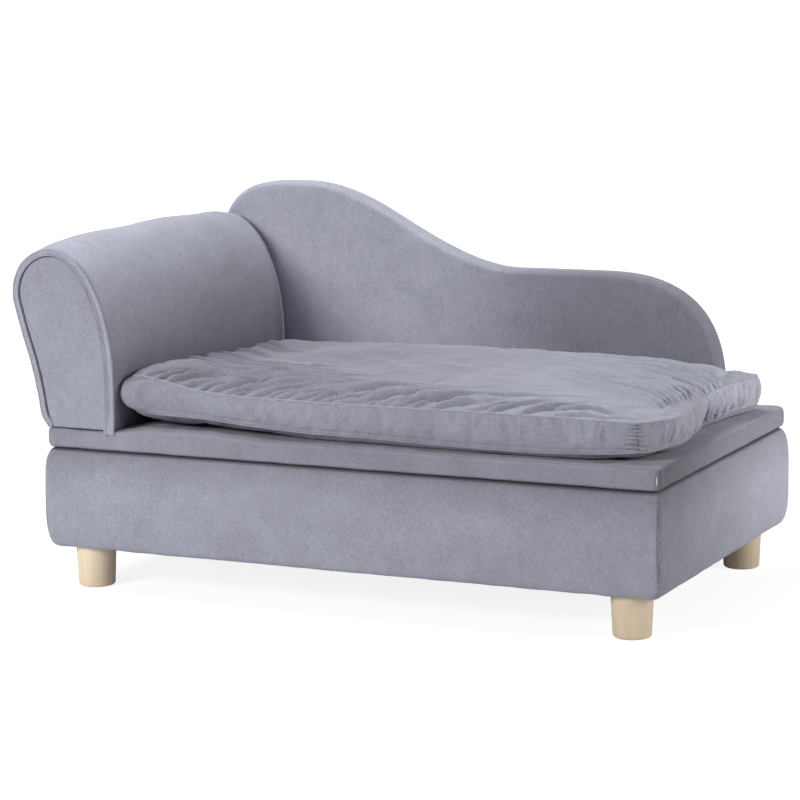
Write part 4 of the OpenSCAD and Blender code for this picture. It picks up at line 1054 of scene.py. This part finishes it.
def pad_surfaces():
    """Grids of the cushion's top, its strip and its underside."""
    nx, ny, rows = PAD_COUNT_X, PAD_COUNT_Y, PAD_STRIP_ROWS
    u, v = np.meshgrid(np.linspace(0, 1, nx + 1), np.linspace(0, 1, ny + 1))
    lower, upper = pad_seams(u, v)
    x, y = pad_plan(u, v, RIGHT_UPPER)
    gap = edge_gap(u, v)
    a, b = np.abs(2 * u - 1), np.abs(2 * v - 1)
    pillow = (1 - a**3) * (1 - b ** np.where(v < 0.5, 2.4, 7))
    pillow += 0.2 * ease(v, 0.5, 0.84) * (1 - ease(v, 0.88, 1.0)) * (1 - a**6)
    swell = 1 - np.exp(-gap / (11 * MM))
    spots = np.stack([x, y, np.zeros_like(x)], -1).reshape(-1, 3)
    lumps = rumple(spots, (2.0, 0.15, 71), (0.7, 0.05, 72)).reshape(x.shape) * (1 - 0.6 * ease(v, 0.6, 0.95))
    crest = table_line(v * PAD_D, ARM_SWELL) * hump(x, PAD_X0 + 26 * MM, 46 * MM)
    top = np.stack([x, y, upper + EDGE_SWELL * swell + PILLOW_RISE * pillow
                    + (crest + lumps + broad_folds(x, y)) * swell], -1)

    x, y = pad_plan(u, v, RIGHT_LOWER)
    lip = 1 - np.exp(-((gap / (7 * MM)) ** 1.5))
    hang = (5.5 + 14 * ease(u, 0.25, 0.62) * (1 - ease(u, 0.8, 0.96)) + 16 * ease(v, 0.12, 0.4)) * MM
    low = np.maximum(PAD_Z + 0.2 * MM, lower - hang * lip)
    ripples = drift(spots, 0.06, 77).reshape(x.shape) + 1
    under = np.stack([x, y, low + 0.35 * MM * lip * ripples * (1 - lip)], -1)

    # Walk round the edge, seen from above, and build the strip down from it
    walk = ([(0, i) for i in range(nx)] + [(j, nx) for j in range(ny)]
            + [(ny, nx - i) for i in range(nx)] + [(ny - j, 0) for j in range(ny)])
    j, i = np.array(walk).T
    drop = np.repeat(np.linspace(0, 1, rows + 1)[:, None], len(walk), 1)
    rim_top, rim_under = top[j, i], under[j, i]
    strip = rim_top[None] * (1 - drop[..., None]) + rim_under[None] * drop[..., None]
    ahead = np.roll(rim_top, -1, 0) - np.roll(rim_top, 1, 0)
    out = np.column_stack([ahead[:, 1], -ahead[:, 0], np.zeros(len(ahead))])
    out /= np.linalg.norm(out, axis=1)[:, None]
    along_x, along_y = (np.broadcast_to(rim_top[:, k] - pad_low[k], drop.shape) for k in (0, 1))
    right, left = (ease(turned * out[:, 0], 0.55, 0.9)[None] for turned in (1, -1))
    rear, front = (ease(turned * out[:, 1], 0.55, 0.9)[None] for turned in (1, -1))
    full = np.sin(math.pi * drop)
    places = np.stack([along_x, along_y, drop * STRIP_H], -1).reshape(-1, 3)
    wander = rumple(places, (0.7, 0.05, 78), (0.25, 0.018, 79)).reshape(drop.shape)
    nose = 14.5 * MM * hump(rim_top[:, 0], PAD_X0 + 8 * MM, 25 * MM) * hump(rim_top[:, 1], PAD_Y0, 23 * MM)
    rear_end = 1.8 * MM * hump(rim_top[:, 1], PAD_Y1, 80 * MM)
    height = (right * (3.2 * MM * full + rear_end[None] * full**0.4) - rear * (1 - right) * 1.2 * MM * full
              + left * 0.4 * MM * full + front * 2.4 * MM * full + nose[None] * full**0.4
              + wander * full * (1 - 0.8 * rear - 0.6 * left))
    return top, strip + out[None] * height[..., None], under


def puff_up(piece, held, pressure, shrink, steps, limit):
    """Lets cloth settle round the air in it, with some points held, and no point moving past the limit."""
    before = coords(piece.data)
    group = piece.vertex_groups.new(name="held")
    group.add(np.flatnonzero(held).tolist(), 1.0, "REPLACE")
    cloth = piece.modifiers.new("cloth", "CLOTH")
    how = cloth.settings
    how.quality = 5
    how.mass = 0.25
    how.tension_stiffness = how.compression_stiffness = 12
    how.shear_stiffness = 4
    how.bending_stiffness = 0.08
    how.use_pressure = True
    how.uniform_pressure_force = pressure
    how.shrink_min = shrink
    how.vertex_group_mass = "held"
    how.effector_weights.gravity = 0
    cloth.collision_settings.use_collision = False
    cloth.point_cache.frame_start = 1
    cloth.point_cache.frame_end = steps
    scene = bpy.context.scene
    for number in range(1, steps + 1):
        scene.frame_set(number)
    graph = bpy.context.evaluated_depsgraph_get()
    settled = bpy.data.meshes.new_from_object(piece.evaluated_get(graph), depsgraph=graph)
    piece.modifiers.clear()
    moved = coords(settled) - before
    length = np.linalg.norm(moved, axis=1)
    moved *= np.minimum(1, limit / np.maximum(length, 1e-9))[:, None]
    bpy.data.meshes.remove(settled)
    piece.vertex_groups.clear()
    set_coords(piece.data, before + moved)
    scene.frame_set(1)


def cushion(stuff, edge_stuff, thread_stuff, fill_stuff):
    """The loose cushion: cover, the ridges along its seams, corner stitches, and the filling inside."""
    top, strip, under = pad_surfaces()
    cut = Cut()
    cut.patch(top)
    cut.patch(under, flip=True)
    cut.patch(strip, around=True, flip=True)
    mesh = cut.mesh("cushion_skin")
    made = add_piece("cushion_skin", mesh, "cushion", stuff, ["cushion_cover"])
    points = coords(mesh)
    upper_line, lower_line = ([int(((points - spot) ** 2).sum(1).argmin()) for spot in line]
                              for line in (strip[0], strip[-1]))
    seam = np.zeros(len(points), bool)
    seam[upper_line] = seam[lower_line] = True
    at_zip = points[:, 1] > PAD_Y1 - 8 * MM
    resting = points[:, 2] < PAD_Z + 1.5 * MM
    puff_up(made, seam | at_zip | resting, pressure=2.0, shrink=-0.015, steps=14, limit=5 * MM)
    points = coords(mesh)
    points[:, 2] = np.maximum(points[:, 2], PAD_Z)
    set_coords(mesh, points)
    crease = mesh.attributes.new("crease_edge", "FLOAT", "EDGE")
    ends = np.empty(len(mesh.edges) * 2, int)
    mesh.edges.foreach_get("vertices", ends)
    crease.data.foreach_set("value", (seam[ends.reshape(-1, 2)].all(1) * 0.75).astype(np.float32))
    modify(made, "SUBSURF", levels=1, render_levels=1)
    filling = made.data.copy()
    filling.name = "filling"
    shrunk = coords(filling) - normals(filling) * FILLING_GAP
    set_coords(filling, shrunk.mean(0) + (shrunk - shrunk.mean(0)) * FILLING_SHARE)
    inner = add_piece("filling", filling, "cushion", fill_stuff, ["cushion_filling"])
    modify(inner, "DECIMATE", ratio=0.25)
    facing = normals(made.data)
    push(made.data, lambda points: pad_detail(points, facing))

    ridges = Cut()
    for line, lift in ((points[upper_line], 0.1 * MM), (points[lower_line], 0.0)):
        tube(ridges, resampled(line + [0, 0, lift], 3 * MM, closed=True), 0.75 * MM, 8, closed=True)
    add_piece("cushion_seams", ridges.mesh("cushion_seams"), "cushion", edge_stuff)

    stitches = Cut()
    corner = strip[:, PAD_COUNT_X - 1]
    for k, share in enumerate(np.arange(0.03, 0.95, 0.115)):
        row, part = divmod(share * PAD_STRIP_ROWS, 1)
        spot = corner[int(row)] * (1 - part) + corner[int(row) + 1] * part + [0, -0.4 * MM, 0]
        lean = (0.9 if k % 2 else -0.7) * MM
        line = [spot, spot + [lean / 2, -0.2 * MM, -1.4 * MM], spot + [lean, 0, -2.9 * MM]]
        tube(stitches, line, 0.8 * MM, 6)
    mesh = stitches.mesh("cushion_stitches")
    add_piece("cushion_stitches", mesh, "cushion", thread_stuff)


# Zip

# Section of the tape as shares of its box: thin along its middle, where the teeth lie
TAPE_SECTION = ((0, 0), (0, 0.5), (0, 1), (1, 0.985), (1, 0.56), (0.55, 0.5), (1, 0.44), (1, 0.015))


def zip_parts(tape_stuff, teeth_stuff):
    """Woven tape with its two rows of coil teeth."""
    low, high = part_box("zip_tape")
    cut = Cut()
    x = np.linspace(low.x, high.x, 160)
    deep, tall = high.y - low.y, high.z - low.z
    grid = np.array([np.column_stack([x, low.y + deep * dy + 0 * x, low.z + tall * dz + 0 * x])
                     for dy, dz in TAPE_SECTION])
    cut.patch(grid, over=True)
    cut.cap(grid[:, 0])
    cut.cap(grid[:, -1])
    add_piece("zip_tapes", cut.mesh("zip_tapes"), "cushion", tape_stuff, ["zip_tape"])
    low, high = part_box("zip_teeth")
    cut = Cut()
    middle, reach = (low.z + high.z) / 2, (high.z - low.z) / 2
    y, radius = (low.y + high.y) / 2, (high.y - low.y) / 2
    pitch = 2.2 * MM
    for k, start in enumerate(np.arange(low.x + pitch, high.x - pitch, pitch)):
        side = 1 if k % 2 else -1
        tube(cut, [(start - 0.5 * MM, y, middle + side * reach), (start, y, middle + side * reach * 0.3),
                   (start, y, middle - side * reach * 0.35)], radius, 6)
    add_piece("zip_coils", cut.mesh("zip_coils"), "cushion", teeth_stuff, ["zip_teeth"])


# Linings and the cloth under the base

def storage_cloth(stuff):
    """Lining of the storage box: sides hung from its rim, stepped in round the corner posts, and a floor."""
    low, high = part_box("storage_lining")
    inset = 0.3 * MM
    left, right, front, rear = low.x + inset, high.x - inset, low.y + inset, high.y - inset
    floor, step = low.z + LINING_T, POST_STEP
    path = resampled([
        (left + step, front), (right - step, front), (right - step, front + step), (right, front + step),
        (right, rear - step), (right - step, rear - step), (right - step, rear), (left + step, rear),
        (left + step, rear - step), (left, rear - step), (left, front + step), (left + step, front + step)],
        6 * MM, closed=True)
    cut = Cut()
    heights = np.linspace(high.z, floor, 26)
    cut.patch(np.array([np.column_stack([path, np.full(len(path), z)]) for z in heights]), around=True)
    gx, gy = np.meshgrid(np.linspace(left, right, 110), np.linspace(front, rear, 60))
    cut.patch(np.stack([gx, gy, np.full(gx.shape, floor)], -1))
    mesh = cut.mesh("storage_cloth")

    def under_post(face):
        spot = face.calc_center_median()
        return (abs(face.normal.z) > 0.5 and min(abs(spot.x - left), abs(spot.x - right)) < step
                and min(abs(spot.y - front), abs(spot.y - rear)) < step)

    bm = bmesh.new()
    bm.from_mesh(mesh)
    bmesh.ops.delete(bm, geom=[face for face in bm.faces if under_post(face)], context="FACES")
    bm.to_mesh(mesh)
    bm.free()

    facing = normals(mesh)
    middle = np.array([(left + right) / 2, (front + rear) / 2])
    width, depth, height = right - left, rear - front, high.z - low.z

    def slack(points):
        inwards = -np.sign(((points[:, :2] - middle) * facing[:, :2]).sum(1))
        z = points[:, 2]
        wall = ease(z, low.z + 2 * MM, low.z + 25 * MM) * (1 - ease(z, high.z - 12 * MM, high.z))
        away = ease(corner_distance(points, width / 2, depth / 2), 60 * MM, 95 * MM)
        return inwards * 0.4 * MM * np.exp(0.7 * drift(points * [1, 1, 0.4], 0.09, 81)) * wall * away

    push(mesh, slack)
    made = add_piece("storage_cloth", mesh, "base", stuff, ["storage_lining"])
    modify(made, "SOLIDIFY", thickness=LINING_T, offset=-1)


def flat_cloth(name, node, body, finishes, slot, sag, seed):
    """A cloth stapled flat under a board, slack between its edges."""
    low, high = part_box(node)
    gx, gy = np.meshgrid(np.linspace(low.x, high.x, 130), np.linspace(low.y, high.y, 76))
    u = np.abs(2 * (gx - low.x) / (high.x - low.x) - 1)
    v = np.abs(2 * (gy - low.y) / (high.y - low.y) - 1)
    spots = np.stack([gx, gy, np.zeros_like(gx)], -1).reshape(-1, 3)
    wave = (drift(spots, 0.12, seed) * 0.5 + 0.5).reshape(gx.shape)
    cut = Cut()
    cut.patch(np.stack([gx, gy, low.z - sag * (1 - u**6) * (1 - v**6) * wave], -1))
    made = add_piece(name, cut.mesh(name), body, finishes[slot], [node])
    modify(made, "SOLIDIFY", thickness=high.z - low.z, offset=0)


def staples(name, node, body, stuff, pitch):
    """A row of small staples round the edge of a cloth, on its lower face."""
    low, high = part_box(node)
    inset, half = 6 * MM, 5 * MM
    path = resampled([(low.x + inset, low.y + inset), (high.x - inset, low.y + inset),
                      (high.x - inset, high.y - inset), (low.x + inset, high.y - inset)], pitch, closed=True)
    ahead = np.roll(path, -1, 0) - path
    ahead /= np.linalg.norm(ahead, axis=1)[:, None]
    z = low.z - 0.35 * MM
    cut = Cut()
    for spot, along in zip(path, ahead):
        a, b = spot - along * half, spot + along * half
        tube(cut, [(*a, z + 0.6 * MM), (*a, z), (*spot, z), (*b, z), (*b, z + 0.6 * MM)], 0.4 * MM, 6)
    add_piece(name, cut.mesh(name), body, stuff)


# Hidden padding

def cut_foam(node, body, stuff, slack):
    """A pad cut from foam sheet: the solid's form with its hard edges eased, a little smaller."""
    mesh = frame["nodes"][node].data.copy()
    mesh.name = node + "_foam"
    bm = bmesh.new()
    bm.from_mesh(mesh)
    bmesh.ops.remove_doubles(bm, verts=bm.verts, dist=1e-6)
    bmesh.ops.dissolve_limit(bm, angle_limit=math.radians(1), verts=bm.verts, edges=bm.edges)
    bm.to_mesh(mesh)
    bm.free()
    made = add_piece(node + "_foam", mesh, body, stuff, [node])
    modify(made, "BEVEL", width=2.0 * MM, segments=2, limit_method="ANGLE", angle_limit=math.radians(50))
    push(made.data, lambda points: np.full(len(points), -slack))


# Camera, room and light

def camera():
    """The viewpoint, in front of the sofa, to its right, and well above it."""
    place = Vector((1.37900, -2.93848, 0.74221))
    turn, tilt, roll = (math.radians(a) for a in (25.3586, 9.4946, -0.8151))
    ahead = Vector((-math.sin(turn) * math.cos(tilt), math.cos(turn) * math.cos(tilt), -math.sin(tilt)))
    level = Vector((math.cos(turn), math.sin(turn), 0))
    rise = level.cross(ahead)
    right = level * math.cos(roll) + rise * math.sin(roll)
    up = rise * math.cos(roll) - level * math.sin(roll)
    lens = bpy.data.cameras.new("camera")
    lens.lens = 130.33
    lens.sensor_width = 36
    lens.dof.use_dof = False
    made = bpy.data.objects.new("camera", lens)
    made.matrix_world = Matrix.Translation(place) @ Matrix((right, up, -ahead)).transposed().to_4x4()
    bpy.context.scene.collection.objects.link(made)
    bpy.context.scene.camera = made


def surroundings():
    """White where it is seen or mirrored, with a weak bluish light for the rest."""
    world = bpy.data.worlds.new("studio")
    bpy.context.scene.world = world
    sky = Tree(world)
    sky.nodes.clear()
    path = sky.nodes.new("ShaderNodeLightPath").outputs
    kinds = ("Camera", "Glossy", "Transmission")
    seen, glossy, through = (Wire(sky, path[f"Is {kind} Ray"]) for kind in kinds)
    ambient = sky.add("ShaderNodeBackground", None, {"Color": (0.84, 0.92, 1.16, 1), "Strength": 0.15})
    white = sky.add("ShaderNodeBackground", None, {"Color": (1, 1, 1, 1), "Strength": 1.0})
    share = sky.maths("MAXIMUM", seen, sky.maths("MAXIMUM", glossy, through))
    sky.feed(sky.nodes.new("ShaderNodeOutputWorld").inputs[0], sky.mixed(share, ambient, white))


def white_floor():
    """A floor that keeps the shadow near the sofa, and turns pure white further out."""
    mesh = bpy.data.meshes.new("floor")
    reach = 30.0
    mesh.from_pydata([(-reach, -reach, 0), (reach, -reach, 0), (reach, reach, 0), (-reach, reach, 0)], [],
                     [(0, 1, 2, 3)])
    floor = bpy.data.objects.new("floor", mesh)
    bpy.context.scene.collection.objects.link(floor)
    stuff = Stuff("floor_white", 1.0, Base_Color=(0.93, 0.93, 0.93, 1), Specular_IOR_Level=0.0)
    glow = stuff.add("ShaderNodeEmission", None, {"Color": (1, 1, 1, 1), "Strength": 1.25})
    distance = stuff.add("ShaderNodeVectorMath", {"operation": "LENGTH"}, {0: stuff.place}, out="Value")
    white_share = stuff.add("ShaderNodeMapRange", None, {
        "Value": distance, "From Min": 0.7, "From Max": 1.8, "To Min": 0.70, "To Max": 1.0})
    seen = stuff.add("ShaderNodeLightPath", out="Is Camera Ray")
    finish = stuff.mixed(seen * white_share, Wire(stuff, stuff.shader.outputs[0]), glow)
    stuff.feed(stuff.nodes["Material Output"].inputs["Surface"], finish)
    mesh.materials.append(stuff.made)


def lamp(name, place, target, power, tint=(1, 1, 1)):
    """A soft lamp, one metre square."""
    light = bpy.data.lights.new(name, "AREA")
    light.shape = "RECTANGLE"
    light.size = light.size_y = 1.0
    light.energy = power
    light.color = tint
    made = bpy.data.objects.new(name, light)
    made.location = place
    made.rotation_mode = "QUATERNION"
    made.rotation_quaternion = (Vector(target) - Vector(place)).to_track_quat("-Z", "Y")
    bpy.context.scene.collection.objects.link(made)


def dress_frame(finishes):
    """Gives the solids that stay in sight the material of their slot."""
    for part in frame["record"]["subparts"]:
        solid = frame["nodes"][part["node"]]
        solid.data.materials.clear()
        solid.data.materials.append(finishes[part["material_slot"]])


camera()
surroundings()
white_floor()
lamp("overhead", (-0.8, 0.3, 2.5), (0, 0, 0.2), 39, (0.93, 0.96, 1.0))
lamp("front_left", (-1.3, -3.2, 1.7), (-0.1, 0, 0.2), 84)
lamp("right", (2.9, 0.2, 1.3), (0.1, 0, 0.15), 44, (1.0, 0.985, 0.95))
bpy.context.scene.view_settings.view_transform = "Standard"

FRONT_Y, REAR_Y = base_low.y, base_high.y
# Painted shade: the velvet is darkened along the narrow groove between the base and the top board, where
# shade falls
PAINTED_GROOVE_SHADE = 0.3
pile = velvet("velvet_plain")
# Painted light and shade on the base: darker to the right and towards the top, its right side lighter towards
# the rear, and painted shade along its upper edge under the top board
base_pile = velvet("velvet_base", painted_light=[
    ("X", base_low.x, base_high.x, 1.04, 0.88), ("Z", base_low.z + 60 * MM, base_high.z, 1.03, 0.84),
    ("Y", FRONT_Y, REAR_Y, 0.74, 1.6, "X", 0.4, 0.8),
    ("Z", base_high.z - 4 * MM, base_high.z, 1.0, PAINTED_GROOVE_SHADE)])
# Painted light and shade on the top board: darker towards the middle, painted shadow of the cushion on its
# top and right side near the front, and painted shade along its lower edge
top_pile = velvet("velvet_top_board", light=0.95, nap=(0.9, 0.9, 2.0), painted_light=[
    ("X", top_low.x + 60 * MM, MID_X, 0.96, 0.80),
    ("Y", FRONT_Y, REAR_Y - 60 * MM, 0.75, 1.5, "Y", -0.75, -0.3),
    ("Y", FRONT_Y, FRONT_Y + 0.2, 0.58, 0.80, "X", 0.5, 0.85),
    ("Z", top_low.z, top_low.z + 3.5 * MM, PAINTED_GROOVE_SHADE, 1.0)])
# Painted light and shade on the arm sleeve: darker low down, lighter towards the top of the roll, and darker
# towards the rear
arm_pile = velvet("velvet_arm", nap=(0.9, 4.0, 0.9), painted_light=[
    ("Z", ARM_Z0 + 10 * MM, arm_high.z, 0.49, 1.36), ("Y", arm_low.y + 100 * MM, arm_high.y, 1.0, 0.86)])
# Painted light and shade on the arm's front panel: a lighter copy, a little darker towards the top, and a
# dark band of painted shade along its foot where it meets the top board
arm_end_pile = velvet("velvet_arm_end", light=1.04, painted_light=[
    ("Z", ARM_Z0 + 60 * MM, arm_high.z, 1.0, 0.92), ("Z", ARM_Z0, ARM_Z0 + 1.8 * MM, 0.12, 1.0)])
# Painted light and shade on the back: a lighter copy, lighter at the hump on the left, darker towards the
# right, and a little darker towards its top
back_pile = velvet("velvet_back", light=1.05, painted_light=[
    ("X", MID_X - 0.14, MID_X + 0.14, 1.38, 0.72), ("Z", top_high.z + 0.1, back_high.z, 1.0, 0.9)])
# Painted light and shade on the cushion: a darker copy, its top darker at the left beside the arm and lighter
# to the right, a little lighter at the front, and its right strip lighter towards the rear
cushion_pile = velvet("velvet_cushion", light=0.95, nap=(1.3, 1.3, 1.3), painted_light=[
    ("X", PAD_X0, PAD_X1, 0.66, 1.13, "Z", 0.5, 0.85),
    ("Y", PAD_Y0, PAD_Y0 + 0.1, 1.05, 0.95, "Z", 0.5, 0.85),
    ("Y", PAD_Y0, PAD_Y1 - 60 * MM, 0.9, 1.6, "X", 0.3, 0.7)])
# Painted light: the sewn edges and the cushion's seam ridges are a lighter copy of the velvet
welt_pile = velvet("velvet_edge", light=1.12, nap=(1.0, 1.0, 1.0), contrast=0.6)
finishes = {
    "velvet": pile,
    "velvet_welt": welt_pile,
    "lining_cloth": woven("lining", (0.115, 0.115, 0.125), 0.0009, 0.10 * MM),
    "dust_cloth": spun_cloth("dust_cover", (0.018, 0.018, 0.02)),
    "foam": foam("foam", (0.80, 0.74, 0.56)),
    "wadding": wadding("wadding", (0.86, 0.86, 0.84)),
    # Painted light: the beech is lighter on the legs at the left and darker towards the right
    "beech": wood("beech", (0.76, 0.62, 0.45), (0.68, 0.54, 0.37), flecks=0.35,
                  painted_light=[("X", base_low.x, base_high.x, 1.2, 0.93)]),
    "pine": wood("pine", (0.72, 0.52, 0.30), (0.48, 0.30, 0.14), grain=(0.09, 0.006, 0.006), roughness=0.6),
    "plywood": wood("plywood", (0.62, 0.46, 0.28), (0.40, 0.27, 0.14), grain=(0.08, 0.006, 0.004),
                    roughness=0.6, plies=0.0016),
    "fibreboard": wood("fibreboard", (0.30, 0.20, 0.12), (0.20, 0.13, 0.07), grain=(0.003, 0.003, 0.003),
                       roughness=0.65),
    "zip_cloth": woven("zip_tape", (0.16, 0.16, 0.19), 0.0006, 0.08 * MM),
    "zip_nylon": nylon("zip_coil", (0.12, 0.12, 0.145)),
    "zip_metal": metal("nickel", (0.62, 0.60, 0.58), 0.28, scratch=(0.006, 0.0006, 0.0006)),
    "zinc_steel": metal("zinc", (0.48, 0.49, 0.51), 0.42),
}
sewing = thread("sewing_thread", (0.035, 0.035, 0.05))

base_skin(base_pile)
corner_stitches(sewing)
top_skin(top_pile)
arm_skin(arm_pile)
end_panel("arm_front_panel", "arm_front_cover", arm_end_pile, -1)
end_panel("arm_rear_panel", "arm_rear_cover", pile, 1)
welt("arm_front_edge", "arm_front_welt", welt_pile, -1)
welt("arm_rear_edge", "arm_rear_welt", welt_pile, 1)
back_skin(back_pile)
cushion(cushion_pile, welt_pile, sewing, finishes["wadding"])
zip_parts(finishes["zip_cloth"], finishes["zip_nylon"])
storage_cloth(finishes["lining_cloth"])
flat_cloth("dust_cover", "dust_cloth", "base", finishes, "dust_cloth", 1.5 * MM, 91)
flat_cloth("top_lining", "seat_lining", "top", finishes, "lining_cloth", 0.3 * MM, 92)
staples("dust_cover_staples", "dust_cloth", "base", finishes["zinc_steel"], 42 * MM)
for name in ("base_front_pad", "base_back_pad", "base_left_pad", "base_right_pad"):
    cut_foam(name, "base", finishes["foam"], PAD_SLACK)
for name in ("seat_foam", "arm_foam", "arm_front_pad", "arm_rear_pad", "back_front_foam", "back_rear_foam"):
    cut_foam(name, "top", finishes["foam"], THIN_PAD_SLACK)
dress_frame(finishes)
